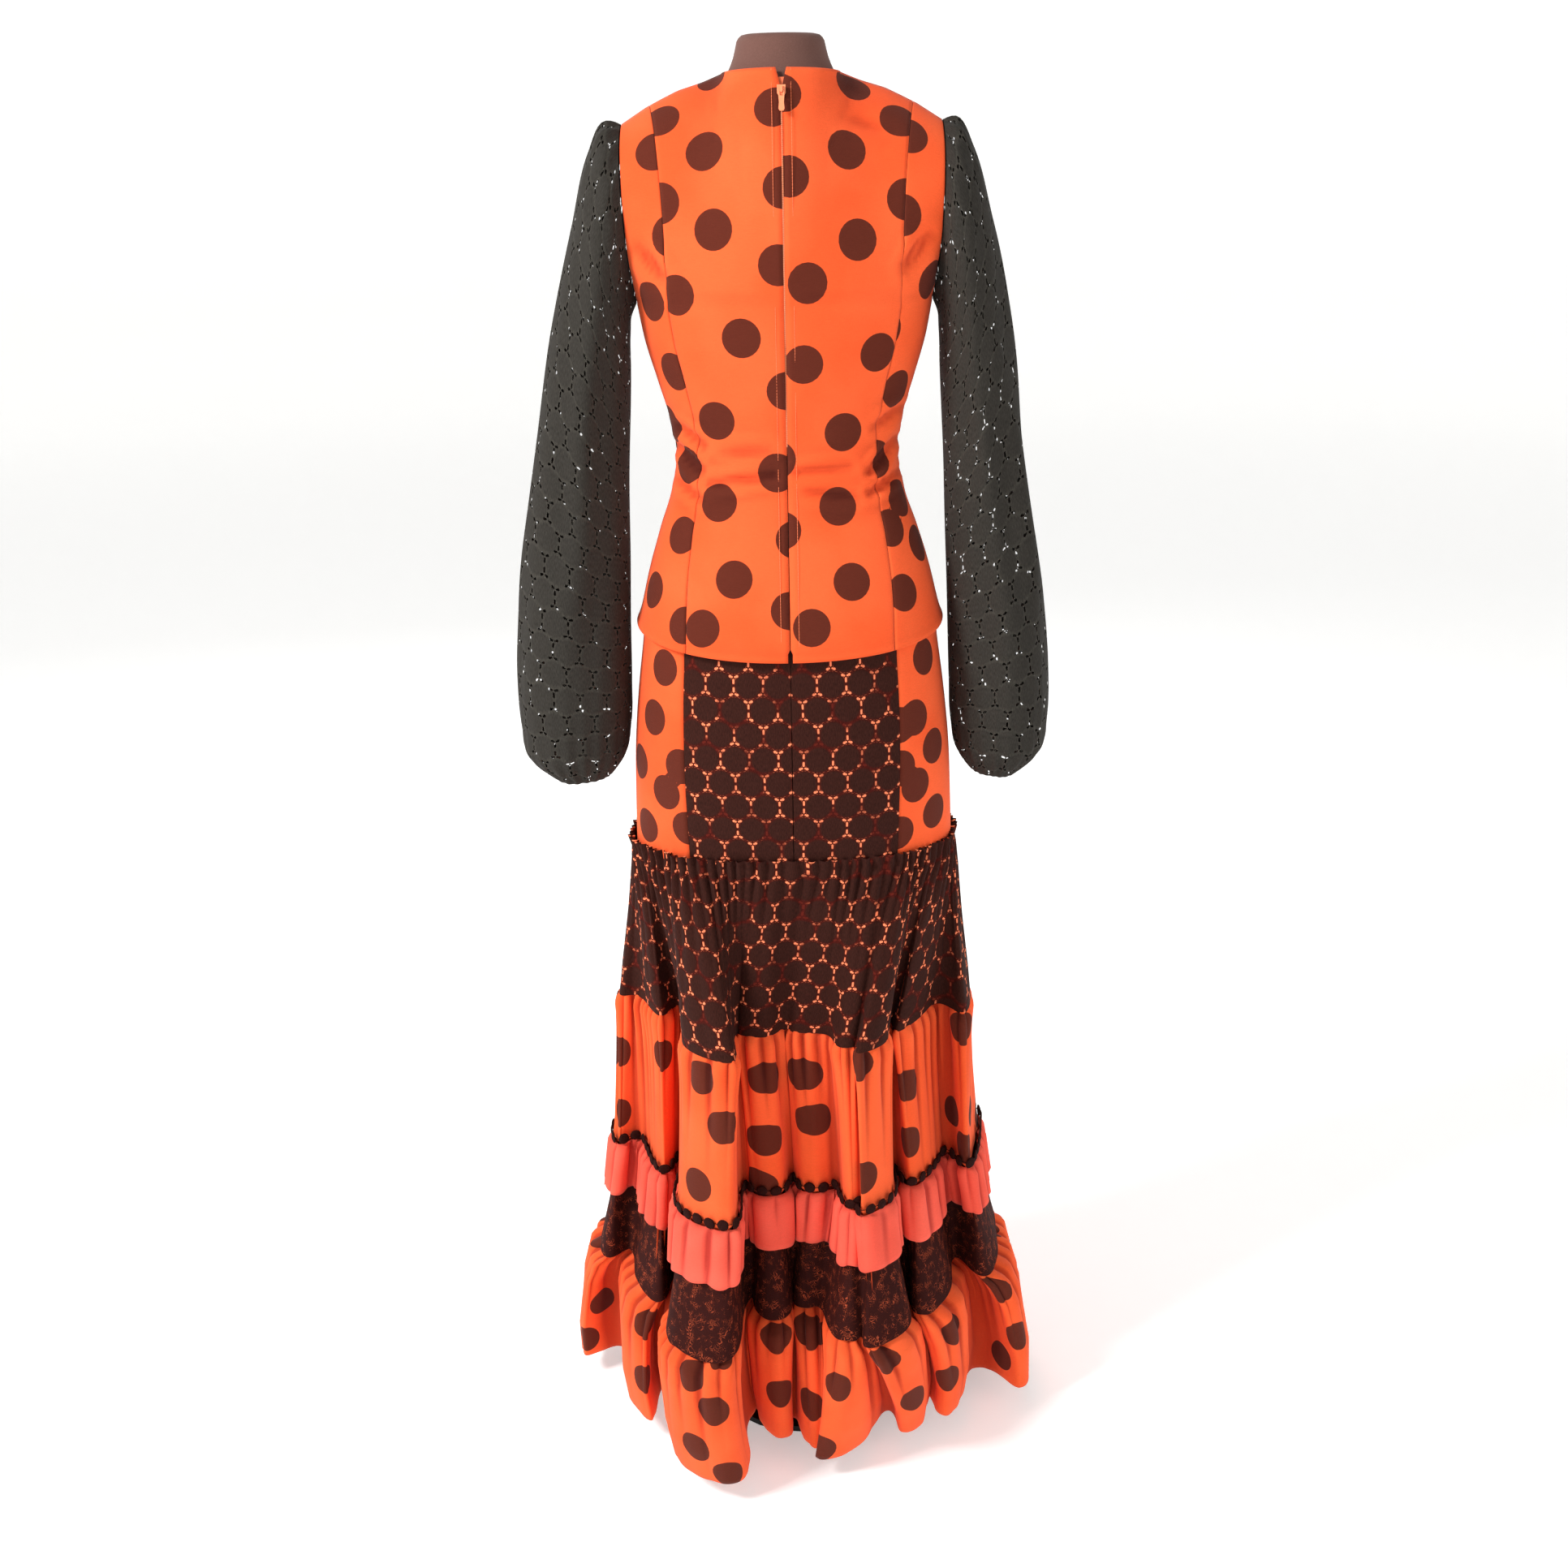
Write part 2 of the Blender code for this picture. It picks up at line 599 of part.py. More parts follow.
def plan_ring(z, count):
    """The skirt's plan curve at a height, as points evenly spaced along the cloth."""
    knots = cloth_knots()
    shares = np.arange(FOLD_POINTS) / FOLD_POINTS
    tops = (TIER_ONE_TOP_Z, *SKIRT_LEVELS)
    level = int(np.clip(np.searchsorted(-np.array(tops), -z) - 1, 0, 3))
    blend = np.clip((tops[level] - z) / (tops[level] - tops[level + 1]), 0.0, 1.0)
    high = yoke_plan(shares) if level == 0 else periodic_curve(knots, fold_plan(level - 1), shares)
    low = periodic_curve(knots, fold_plan(level), shares)
    ring = rounded(high + (low - high) * blend, FOLD_ROUNDING)
    if level == 3:
        puff = float(np.interp(blend, column(RUFFLE_PUFF, 0), column(RUFFLE_PUFF, 1)))
        ring = ring * (1 + puff / np.linalg.norm(ring, axis=1, keepdims=True))
    picks = np.arange(count) * FOLD_POINTS // count
    return np.column_stack([ring[picks], np.full(count, z)])


def ring_outward(ring):
    """Outward plan normals of a ring."""
    step = np.roll(ring, -1, axis=0) - np.roll(ring, 1, axis=0)
    normal = np.column_stack([step[:, 1], -step[:, 0], np.zeros(len(ring))])
    return normal / np.linalg.norm(normal, axis=1, keepdims=True)


def gather_wave(index, seed):
    """Uneven in and out of small gathers, one wave for four points."""
    phase = (0.0, 1.0, 0.0, -1.0)[index % 4]
    return phase * (0.85 + 0.35 * math.sin(1.7 * (index // 4) + seed))


def band(name, rows, wall, material, seed):
    """A tier of the skirt: rows of height, outward shift, gather depth and plan height."""
    rings = []
    for z, shift, depth, plan_z in rows:
        ring = plan_ring(plan_z, SKIRT_POINTS)
        outward = ring_outward(ring)
        waves = np.array([gather_wave(i, seed) for i in range(SKIRT_POINTS)])
        ring = ring + outward * (shift + depth * waves)[:, None]
        ring[:, 2] = z
        rings.append(ring)
    outer = np.array(rings)
    inner = outer - np.array([ring_outward(r) for r in outer]) * wall
    return wall_between(name, outer, inner, True, material)


def build_tiers(cloth, coral, lace):
    """The tiers, ruffles and band below the yoke."""
    g = SEAM_GAP / 2
    top = TIER_ONE_TOP_Z
    two = TIER_TWO_TOP_Z
    rows = (
        (top - g, 0.0, 0.0, top),
        (0.62, -0.0020, 0.0, 0.62),
        (two + g, -0.0018, 0.0, two),
    )
    band("tier_one_backing", rows, LACE, cloth, 0.0)
    rows = (
        (HEADER_Z, 0.0062, 0.0022, top),
        (top + 0.002, 0.0042, 0.0014, top),
        (0.62, 0.0012, 0.0008, 0.62),
        (two + g, 0.0002, 0.0, two),
    )
    band("tier_one_lace", rows, LACE, lace, 0.4)
    rows = (
        (two - g, -0.0004, 0.0014, two),
        (0.470, -0.0004, 0.0009, 0.470),
        (BRAID_Z, -0.0018, 0.0, BRAID_Z),
        (0.262, -0.0026, 0.0, 0.262),
        (HEM_SEAM_Z + g, -0.0032, 0.0, HEM_SEAM_Z),
    )
    band("tier_two", rows, CLOTH, cloth, 1.1)
    rows = (
        (LACE_BAND_TOP_Z, 0.0, 0.0, LACE_BAND_TOP_Z),
        (0.262, -0.0002, 0.0, 0.262),
        (LACE_BAND_LOW_Z, 0.0030, 0.0, SKIRT_LEVELS[2]),
    )
    band("lace_band", rows, LACE, lace, 2.0)
    rows = (
        (BRAID_Z - 0.0035, 0.0022, 0.0002, BRAID_Z - 0.0035),
        (CORAL_LOW_Z, 0.0032, 0.0012, CORAL_LOW_Z),
    )
    band("coral_ruffle", rows, CLOTH, coral, 2.9)
    rows = (
        (BRAID_Z + 0.006, 0.0014, 0.0, BRAID_Z + 0.006),
        (BRAID_Z - 0.003, 0.0014, 0.0, BRAID_Z - 0.003),
    )
    band("braid", rows, LACE, lace, 0.0)
    rows = (
        (HEM_SEAM_Z - g, -0.0042, 0.0006, HEM_SEAM_Z),
        (0.1865, -0.0014, 0.0014, SKIRT_LEVELS[2]),
        (0.155, 0.0, 0.0016, 0.155),
        (0.095, 0.0, 0.0008, 0.095),
        (HEM_Z, 0.0, 0.0, HEM_Z),
    )
    band("hem_ruffle", rows, CLOTH, cloth, 3.7)


def yoke_grid(rows, inset):
    """Rows upward to the waist, columns all round from the left side over the back."""
    grid = []
    for z in rows:
        seam = float(np.interp(z, column(YOKE_SEAM, 0), column(YOKE_SEAM, 1)))
        angles = [0.5 * math.pi * (1 - share) for share in half_shares(seam)]
        back = angles[::-1] + [math.pi - a for a in angles[1:]]
        around = back + [a + math.pi for a in back[1:-1]]
        grid.append([section_point(YOKE_SECTIONS, z, a, inset) for a in around])
    return np.array(grid)


def build_yoke(cloth, lace):
    """The yoke: dotted sides, and lace over plain cloth at the centre back and front."""
    half = SEAM_GAP / 2
    spans = (
        ("yoke_back_left", 3, 8, True),
        ("yoke_back_right", 8, 13, True),
        ("yoke_side_right", 13, 19, False),
        ("yoke_front", 19, 29, True),
        ("yoke_side_left", 29, 35, False),
    )
    for name, first, last, laced in spans:
        for layer in ("lace", "backing") if laced else ("cloth",):
            inset = LACE + SEAM_GAP if layer == "backing" else 0.0
            grid = yoke_grid(YOKE_ROWS, inset)
            normals = grid_normals(grid, True, 1.0)
            grid = np.concatenate([grid, grid[:, :4]], axis=1)
            normals = np.concatenate([normals, normals[:, :4]], axis=1)
            title = name + "_backing" if layer == "backing" else name
            material = lace if layer == "lace" else cloth
            wall = CLOTH if layer == "cloth" else LACE
            panel(title, grid, normals, first, last, (half, half, 0.0, 0.0), wall, material)


def build_form(skin, metal):
    """The limbless dress form, its pole and its foot."""
    inset = FORM_CLEARANCE
    back = top_grid(True, inset)[3:]
    front = top_grid(False, inset)[3:]
    rings = []
    for ring in yoke_grid((FORM_LOW_Z, 0.900, 0.955, 1.008, 1.058), inset):
        rings.append((ring[:17], np.concatenate([ring[:1], ring[:15:-1]])))
    backs = np.concatenate([np.array([r[0] for r in rings]), back])
    fronts = np.concatenate([np.array([r[1] for r in rings]), front])
    rows = len(backs)
    loops = []
    for r in range(rows):
        loops.append(np.concatenate([backs[r], fronts[r][::-1]]))
    neck_cols = range(5, 12)
    verts = []
    index = {}

    def place(point):
        key = tuple(np.round(point, 6))
        if key not in index:
            index[key] = len(verts)
            verts.append(np.array(point))
        return index[key]

    faces = []

    def add_face(points):
        ids = []
        for p in points:
            i = place(p)
            if i not in ids:
                ids.append(i)
        if len(ids) >= 3:
            faces.append(tuple(ids))

    count = len(loops[0])
    for r in range(rows - 1):
        for c in range(count):
            d = (c + 1) % count
            add_face([loops[r][c], loops[r][d], loops[r + 1][d], loops[r + 1][c]])
    add_face(list(loops[0][::-1]))
    edge = [backs[-1][i] for i in neck_cols] + [fronts[-1][i] for i in neck_cols[::-1]][1:-1]
    turns = [math.atan2((p[1] - SHOULDER_Y) / NECK_ROOT[1], p[0] / NECK_ROOT[0]) for p in edge]
    turns[-1] += 2 * math.pi if turns[-1] < turns[0] else 0.0
    turns = np.unwrap(np.array(turns))
    turns = np.column_stack([turns, 0.5 * (turns + np.append(turns[1:], turns[0] + 2 * math.pi))])
    below = None
    for z, half, deep, centre in NECK_RINGS:
        above = []
        for turn in turns.reshape(-1):
            drop = NECK_ROOT_DROP * max(0.0, -math.sin(turn)) if below is None else 0.0
            place_at = (half * math.cos(turn), centre + deep * math.sin(turn), z - drop)
            above.append(np.array(place_at))
        count = len(above)
        for i in range(count):
            j = (i + 1) % count
            if below is None:
                low = edge[i // 2]
                add_face([low, above[j], above[i]])
                if i % 2:
                    add_face([low, edge[(i // 2 + 1) % len(edge)], above[j]])
            else:
                add_face([below[i], below[j], above[j], above[i]])
        below = above
    add_face(below)
    points = np.array(verts)
    if signed_volume(points, faces) < 0:
        faces = [tuple(reversed(face)) for face in faces]
    add_object("dress_form", points, faces, skin)
    pole = ((POLE_RADIUS, FOOT_HEIGHT + SEAM_GAP), (POLE_RADIUS, FORM_LOW_Z - SEAM_GAP))
    turned("stand_pole", pole, POLE_SIDES, metal)
    turned("stand_foot", FOOT_PROFILE, FOOT_SIDES, metal)


def turned(name, profile, sides, material):
    """A solid of revolution about the vertical axis."""
    verts = []
    for radius, z in profile:
        for k in range(sides):
            a = 2 * math.pi * k / sides
            verts.append((radius * math.cos(a), radius * math.sin(a), z))
    faces = [tuple(range(sides))[::-1]]
    for r in range(len(profile) - 1):
        for k in range(sides):
            j = (k + 1) % sides
            faces.append((r * sides + k, r * sides + j, (r + 1) * sides + j, (r + 1) * sides + k))
    faces.append(tuple((len(profile) - 1) * sides + k for k in range(sides)))
    return add_object(name, verts, faces, material)


def centre_back_row(z):
    """The point and the outward normal of the centre back line at a height."""

    def at(height):
        if height <= UNDERARM_Z:
            return section_point(TOP_SECTIONS, height, 0.5 * math.pi, 0.0)
        low, high = 0.0, 1.0
        for _ in range(40):
            middle = 0.5 * (low + high)
            if upper_point(0.0, True, middle, 0.0)[2] < height:
                low = middle
            else:
                high = middle
        return upper_point(0.0, True, low, 0.0)

    point = at(z)
    step = at(z + 0.002) - at(z - 0.002)
    normal = np.array([0.0, step[2], -step[1]])
    return point, normal / np.linalg.norm(normal)


def build_zip(metal, tape):
    """The zip tape inside the back opening, its slider and the pull tab on the slider."""
    back = top_grid(True, 0.0)
    facing = grid_normals(back, False, 1.0)[6:, 8]
    line = back[6:, 8] - facing * (CLOTH + TAPE_DEPTH)
    line[0] = line[0] + (line[1] - line[0]) * TAPE_TRIMS[0]
    line[-1] = line[-1] + (line[-2] - line[-1]) * TAPE_TRIMS[1]
    sides = np.array([[TAPE_HALF_WIDTH, 0.0, 0.0], [-TAPE_HALF_WIDTH, 0.0, 0.0]])
    outer = line[:, None, :] + sides[None]
    wall_between("zip_tape", outer, outer - facing[:, None, :] * TAPE_WALL, False, tape)

    point, out = centre_back_row(SLIDER_Z)
    down = np.array([0.0, out[2], -out[1]])
    down = -down if down[2] > 0 else down
    base = point + out * SLIDER_SINK

    def spot(x, along, high):
        return base + np.array([x, 0.0, 0.0]) + down * along + out * high

    half_w, half_l, high = SLIDER_SIZE[0] / 2, SLIDER_SIZE[1] / 2, SLIDER_SIZE[2]
    bail_x, bail_l, bail_h = BAIL_SIZE[0] / 2, BAIL_SIZE[1] / 2, BAIL_SIZE[2]
    taper = ((-half_l, half_w), (half_l - 0.003, half_w), (half_l, half_w * SLIDER_TAPER))
    loop = [(x, a) for a, x in taper] + [(-x, a) for a, x in taper[::-1]]
    verts = [spot(x, a, 0.0) for x, a in loop] + [spot(x, a, high) for x, a in loop]
    n = len(loop)
    faces = [tuple(range(n)), tuple(range(2 * n - 1, n - 1, -1))]
    faces += [(i, n + i, n + (i + 1) % n, (i + 1) % n) for i in range(n)]
    body = add_object("zip_slider", verts, oriented(verts, faces), metal)
    profile = (
        (-bail_l, high - BAIL_FOOT),
        (-bail_l, high + bail_h - BAIL_CHAMFER),
        (-bail_l + BAIL_CHAMFER, high + bail_h),
        (bail_l - BAIL_CHAMFER, high + bail_h),
        (bail_l, high + bail_h - BAIL_CHAMFER),
        (bail_l, high - BAIL_FOOT),
        (bail_l - BAIL_WALL, high - BAIL_FOOT),
        (bail_l - BAIL_WALL, high + bail_h - BAIL_WALL),
        (-bail_l + BAIL_WALL, high + bail_h - BAIL_WALL),
        (-bail_l + BAIL_WALL, high - BAIL_FOOT),
    )
    verts = [spot(s * bail_x, a, h) for s in (1, -1) for a, h in profile]
    n = len(profile)
    faces = [tuple(range(n)), tuple(range(2 * n - 1, n - 1, -1))]
    faces += [(i, n + i, n + (i + 1) % n, (i + 1) % n) for i in range(n)]
    bail = add_object("zip_bail_form", verts, oriented(verts, faces), metal)
    bail.hide_render = True
    bail.display_type = "WIRE"
    join = body.modifiers.new("bail", "BOOLEAN")
    join.operation = "UNION"
    join.solver = "EXACT"
    join.object = bail

    pivot = spot(0.0, TAB_PIVOT[0], high + TAB_PIVOT[1])
    w, length, thick = TAB_SIZE[0] / 2, TAB_SIZE[1], TAB_SIZE[2] / 2
    eye_w, eye_l = TAB_EYE[0] / 2, TAB_EYE[1]
    rim = (
        (0.45 * w, -TAB_BAR_HALF),
        (w, 0.0006),
        (w, eye_l),
        (w * 0.82, 0.6 * length),
        (w, length - 0.002),
        (w * 0.6, length),
    )
    eye = ((eye_w, TAB_BAR_HALF), (eye_w, eye_l))
    outer_loop = list(rim) + [(-x, a) for x, a in rim[::-1]]
    eye_loop = list(eye) + [(-x, a) for x, a in eye[::-1]]

    def tab_spot(x, a, h):
        return pivot + np.array([x, 0.0, 0.0]) + down * a + out * h

    verts = [tab_spot(x, a, h) for h in (thick, -thick) for x, a in outer_loop + eye_loop]
    n = len(outer_loop)
    m = len(eye_loop)
    total = n + m
    plate = [
        (0, 1, n + 0),
        (1, 2, n + 1, n + 0),
        (2, 3, n - 4, n - 3, n + 2, n + 1),
        (3, 4, 5, n - 6, n - 5, n - 4),
        (n - 3, n - 2, n + 3, n + 2),
        (n - 2, n - 1, n + 3),
        (n - 1, 0, n + 0, n + 3),
    ]
    faces = list(plate) + [tuple(total + i for i in reversed(f)) for f in plate]
    faces += [((i + 1) % n, i, total + i, total + (i + 1) % n) for i in range(n)]
    faces += [(n + i, n + (i + 1) % m, total + n + (i + 1) % m, total + n + i) for i in range(m)]
    add_object("zip_pull_tab", verts, oriented(verts, faces), metal, tuple(pivot))


def oriented(verts, faces):
    """Faces turned to face out of the solid."""
    if signed_volume([np.array(v) for v in verts], faces) < 0:
        return [tuple(reversed(face)) for face in faces]
    return faces


def main():
    """Clears the scene and builds every piece."""
    for old in list(bpy.data.objects):
        bpy.data.objects.remove(old, do_unlink=True)
    dotted = paint("orange_dotted_crepe", (0.90, 0.15, 0.045), 0.75, 0.0)
    coral = paint("coral_crepe", (0.92, 0.17, 0.09), 0.75, 0.0)
    lace = paint("black_brown_lace", (0.035, 0.014, 0.011), 0.8, 0.0)
    sleeve = paint("black_sheer_lace", (0.02, 0.017, 0.015), 0.8, 0.0)
    skin = paint("form_cover_jersey", (0.05, 0.035, 0.032), 0.85, 0.0)
    steel = paint("blackened_steel", (0.03, 0.03, 0.03), 0.45, 0.9)
    plastic = paint("orange_zip_plastic", (0.85, 0.25, 0.12), 0.4, 0.0)
    build_top(dotted)
    build_sleeves(sleeve)
    build_yoke(dotted, lace)
    build_tiers(dotted, coral, lace)
    build_form(skin, steel)
    build_zip(plastic, plastic)


main()
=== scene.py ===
"""Looks of a two-piece flamenco dress on a limbless dress form.

Every cloth piece is built again as a thin shell at full detail on the form of its solid: the
fitted top in seven panels, two lace sleeves, the skirt's yoke, its tiers, ruffles and bands.
Sewing, zip teeth and the braid's motifs are small pieces of their own. Metres, +Z up, the zip
at the centre back is at +Y and the wearer's left is at +X.
"""

import logging
import math
from dataclasses import dataclass, field
from enum import Enum
from functools import partial
from typing import Callable, Sequence

import bpy
import numpy as np
from mathutils import Matrix, Vector

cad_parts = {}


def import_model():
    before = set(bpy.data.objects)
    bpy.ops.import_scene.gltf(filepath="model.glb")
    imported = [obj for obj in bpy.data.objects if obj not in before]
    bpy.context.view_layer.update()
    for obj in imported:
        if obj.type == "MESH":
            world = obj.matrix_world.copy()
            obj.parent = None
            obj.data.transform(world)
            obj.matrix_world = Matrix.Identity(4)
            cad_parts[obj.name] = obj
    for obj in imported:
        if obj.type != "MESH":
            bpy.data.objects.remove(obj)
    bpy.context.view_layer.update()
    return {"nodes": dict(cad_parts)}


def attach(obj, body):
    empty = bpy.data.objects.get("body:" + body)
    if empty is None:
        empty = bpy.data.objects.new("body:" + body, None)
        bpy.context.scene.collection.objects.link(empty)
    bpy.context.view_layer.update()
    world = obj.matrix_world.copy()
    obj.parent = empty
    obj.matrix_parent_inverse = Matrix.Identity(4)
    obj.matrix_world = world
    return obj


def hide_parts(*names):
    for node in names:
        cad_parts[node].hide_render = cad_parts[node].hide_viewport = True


LOG = logging.getLogger("dress")
Array = np.ndarray
Table = Sequence[Sequence[float]]
Pair = tuple[float, float]
Triple = tuple[float, float, float]
Faces = list[tuple[int, ...]]
Adder = Callable[..., bpy.types.Node]
Material = bpy.types.Material
Tree = bpy.types.NodeTree
Node = bpy.types.Node
Piece = bpy.types.Object
MM = 0.001
DRESS_BODY = "dress"

# The body under the top: height, half width, back depth and front depth
TOP_SECTIONS: Table = (
    (0.94, 0.159, 0.1215, 0.1115),
    (0.972, 0.156, 0.1165, 0.1065),
    (1.008, 0.149, 0.107, 0.099),
    (1.058, 0.134, 0.092, 0.09),
    (1.095, 0.1205, 0.08, 0.083),
    (1.133, 0.1125, 0.074, 0.08),
    (1.17, 0.1165, 0.077, 0.086),
    (1.21, 0.1285, 0.085, 0.103),
    (1.25, 0.14, 0.094, 0.121),
    (1.283, 0.146, 0.099, 0.117),
)
# The skirt yoke: height, half width, back depth and front depth
YOKE_SECTIONS: Table = (
    (0.7165, 0.172, 0.108, 0.112),
    (0.77, 0.1705, 0.116, 0.114),
    (0.83, 0.168, 0.121, 0.114),
    (0.9, 0.161, 0.119, 0.11),
    (0.945, 0.1548, 0.1165, 0.1065),
    (0.99, 0.1497, 0.108, 0.099),
    (1.03, 0.1408, 0.0975, 0.093),
    (1.065, 0.1295, 0.087, 0.0865),
    (1.098, 0.117, 0.0765, 0.08),
)
SECTION_POWER = 2.0 / 2.3
# Shoulder line from the neck point to the armhole: half width and height
SHOULDER: Table = (
    (0.057, 1.491), (0.075, 1.484), (0.099, 1.477), (0.1155, 1.4695), (0.13, 1.4625),
    (0.1425, 1.455), (0.154, 1.448),
)
NECK_SHARE = 0.30
NECK_BACK = (0.056, 1.495)
NECK_FRONT = (-0.07, 1.463)
SHOULDER_Y = -0.002
UNDERARM_Z = 1.283
HEM_BAND_Z = 1.008
ZIP_END_Z = 1.150
# Princess seam of the top and panel seam of the yoke: height and share from centre to side
PRINCESS: Table = (
    (0.94, 0.42), (1.04, 0.48), (1.133, 0.545), (1.21, 0.525), (1.283, 0.53),
)
PRINCESS_AT_SHOULDER = 0.80
YOKE_SEAM: Table = ((0.7165, 0.405), (0.83, 0.43), (0.94, 0.46), (1.098, 0.52))

# Sleeve rings from shoulder to cuff: outer edge height, inner edge height, outer and inner
# half widths on the left arm, the same on the right arm, and half depth, in millimetres
SLEEVE_RINGS: Table = (
    (1450, 1272, 169, 152, 167, 151.5, 60),
    (1423, 1252, 187, 154.5, 185, 153.5, 63.5),
    (1356, 1220, 208, 156, 205, 155, 62),
    (1275, 1170, 229, 159, 219, 157, 59),
    (1170, 1095, 252, 164, 234, 161, 58),
    (1070, 1015, 270, 166.5, 249, 164.5, 60),
    (985, 950, 282, 168, 265, 166.5, 64),
    (915, 895, 290, 170, 273.5, 169, 66),
    (850, 850, 289, 173, 273.5, 171.5, 64),
    (818, 818, 283, 180, 267, 178, 57),
    (796, 796, 259, 195, 244, 193, 40),
)

# Folds of the skirt in plan, from the left side round the back to the right side and back
# round the front. Columns, in millimetres: crest x and y at each of SKIRT_LEVELS
TIER_ONE_TOP_Z = 0.7165
SKIRT_LEVELS = (0.52, 0.328, 0.195, 0.03)
CRESTS: Table = (
    (203, -30, 216, -22, 235, 2, 274, -15),
    (158, 24, 163, 38, 176, 86, 192, 93),
    (95, 137, 104, 160, 113, 207, 108, 216),
    (48, 92, 35, 106, 31, 145, 31, 151),
    (-12, 85, -19, 103, -6, 122, -10, 172),
    (-50, 122, -56, 137, -47, 186, -40, 185),
    (-80, 126, -85, 139, -95, 188, -128, 139),
    (-123, 70, -138, 77, -152, 122, -180, 97),
    (-192, 25, -201, 31, -224, 43, -270, 42),
    (-188, -70, -212, -85, -232, -95, -262, -105),
    (-140, -105, -158, -128, -172, -150, -190, -165),
    (-85, -122, -92, -158, -100, -185, -112, -205),
    (-30, -118, -30, -142, -30, -168, -36, -185),
    (22, -124, 28, -160, 34, -190, 36, -210),
    (78, -116, 86, -140, 96, -165, 104, -180),
    (132, -108, 150, -135, 165, -158, 178, -178),
    (182, -80, 205, -95, 226, -105, 250, -115),
)
# The valley that follows each crest, in the same columns
VALLEYS: Table = (
    (182, -22, 186, -32, 202, -12, 219, -35),
    (128, 12, 136, 20, 147, 50, 160, 45),
    (66, 82, 62, 86, 58, 95, 56, 88),
    (12, 72, 6, 62, 10, 85, 12, 105),
    (-36, 88, -42, 82, -26, 112, -22, 168),
    (-66, 118, -71, 130, -71, 176, -96, 92),
    (-103, 58, -108, 50, -122, 86, -150, 72),
    (-158, 10, -170, 15, -180, 15, -212, 18),
    (-196, -45, -215, -50, -238, -55, -268, -60),
    (-160, -78, -178, -88, -196, -98, -215, -105),
    (-112, -96, -122, -108, -132, -120, -146, -128),
    (-58, -98, -60, -104, -62, -118, -70, -128),
    (-4, -100, -2, -108, 0, -122, 0, -132),
    (50, -98, 56, -102, 62, -114, 68, -124),
    (106, -92, 118, -98, 130, -110, 140, -118),
    (158, -82, 178, -85, 198, -92, 216, -98),
    (196, -56, 219, -60, 240, -58, 268, -75),
)
CREST_SPREAD = 0.36
VALLEY_SPREAD = 0.08
CREST_LEVELLING = 0.75
FOLD_POINTS = 400
FOLD_ROUNDING = 10
# Angle of the first fold at the yoke, in degrees from the left side
FOLD_START = -9.0
# Rows of each band from the top down: height, outward shift of the outer face, plan height
TIER_ROWS: dict[str, Table] = {
    "tier_one_backing": (
        (TIER_ONE_TOP_Z, -0.004, TIER_ONE_TOP_Z), (0.62, -0.0085, 0.62), (0.52, -0.0075, 0.52),
    ),
    "tier_one_lace": (
        (0.731, 0.005, TIER_ONE_TOP_Z), (TIER_ONE_TOP_Z + 0.002, 0.0036, TIER_ONE_TOP_Z),
        (0.62, 0.0016, 0.62), (0.5185, 0.0014, 0.52),
    ),
    "tier_two": (
        (0.52, -0.0006, 0.52), (0.505, 0.001, 0.505), (0.47, 0.0002, 0.47),
        (0.345, -0.0006, 0.345), (0.33, 0.0004, 0.33), (0.322, -0.0068, 0.322),
        (0.262, -0.009, 0.262), (0.2, -0.009, 0.2),
    ),
    "lace_band": (
        (0.322, -0.004, 0.322), (0.3, -0.0048, 0.3), (0.262, -0.004, 0.262),
        (0.1885, 0.0034, 0.195),
    ),
    "coral_ruffle": (
        (0.3265, 0.0014, 0.3265), (0.317, 0.0044, 0.317), (0.268, 0.005, 0.268),
    ),
    "hem_ruffle": (
        (0.193, -0.006, 0.197), (0.1865, -0.0034, 0.195), (0.176, 0.001, 0.18),
        (0.15, 0.0006, 0.15), (0.095, 0.0, 0.095), (0.03, 0.0, 0.03),
    ),
}
# How far the hem ruffle puffs out: share of its drop and outward distance
RUFFLE_PUFF: Table = (
    (0.00, 0.0), (0.1, 0.011), (0.3, 0.015), (0.53, 0.013), (0.75, 0.01), (1.00, 0.0),
)

# Dots of the back panels: x and height of each centre in millimetres
TOP_DOTS: dict[str, Table] = {
    "top_back_right": (
        (0, 1471), (-59, 1425), (-109, 1447), (-8, 1403), (-70, 1345), (-116, 1380), (-24, 1306),
        (-17, 1232), (-89, 1240), (-56, 1164), (10, 1139), (-50, 1093), (6, 1072), (-63, 1022),
        (-22, 980), (-66, 1478),
    ),
    "top_back_side_right": (
        (-119, 1436), (-113, 1366), (-96, 1261), (-115, 1005), (-102, 1068), (-87, 1135),
        (-141, 1305), (-109, 1202), (-113, 1093), (-132, 1047),
    ),
    "top_back_left": (
        (9, 1460), (73, 1425), (61, 1487), (0, 1392), (64, 1356), (7, 1322), (102, 1296),
        (42, 1257), (0, 1206), (69, 1177), (10, 1127), (69, 1097), (55, 1026), (0, 996),
        (88, 978), (113, 1451), (116, 1380), (-6, 1064),
    ),
    "top_back_side_left": (
        (121, 1425), (106, 1350), (128, 1289), (109, 1223), (99, 1131), (108, 1064), (140, 1006),
        (107, 979), (114, 1169),
    ),
}
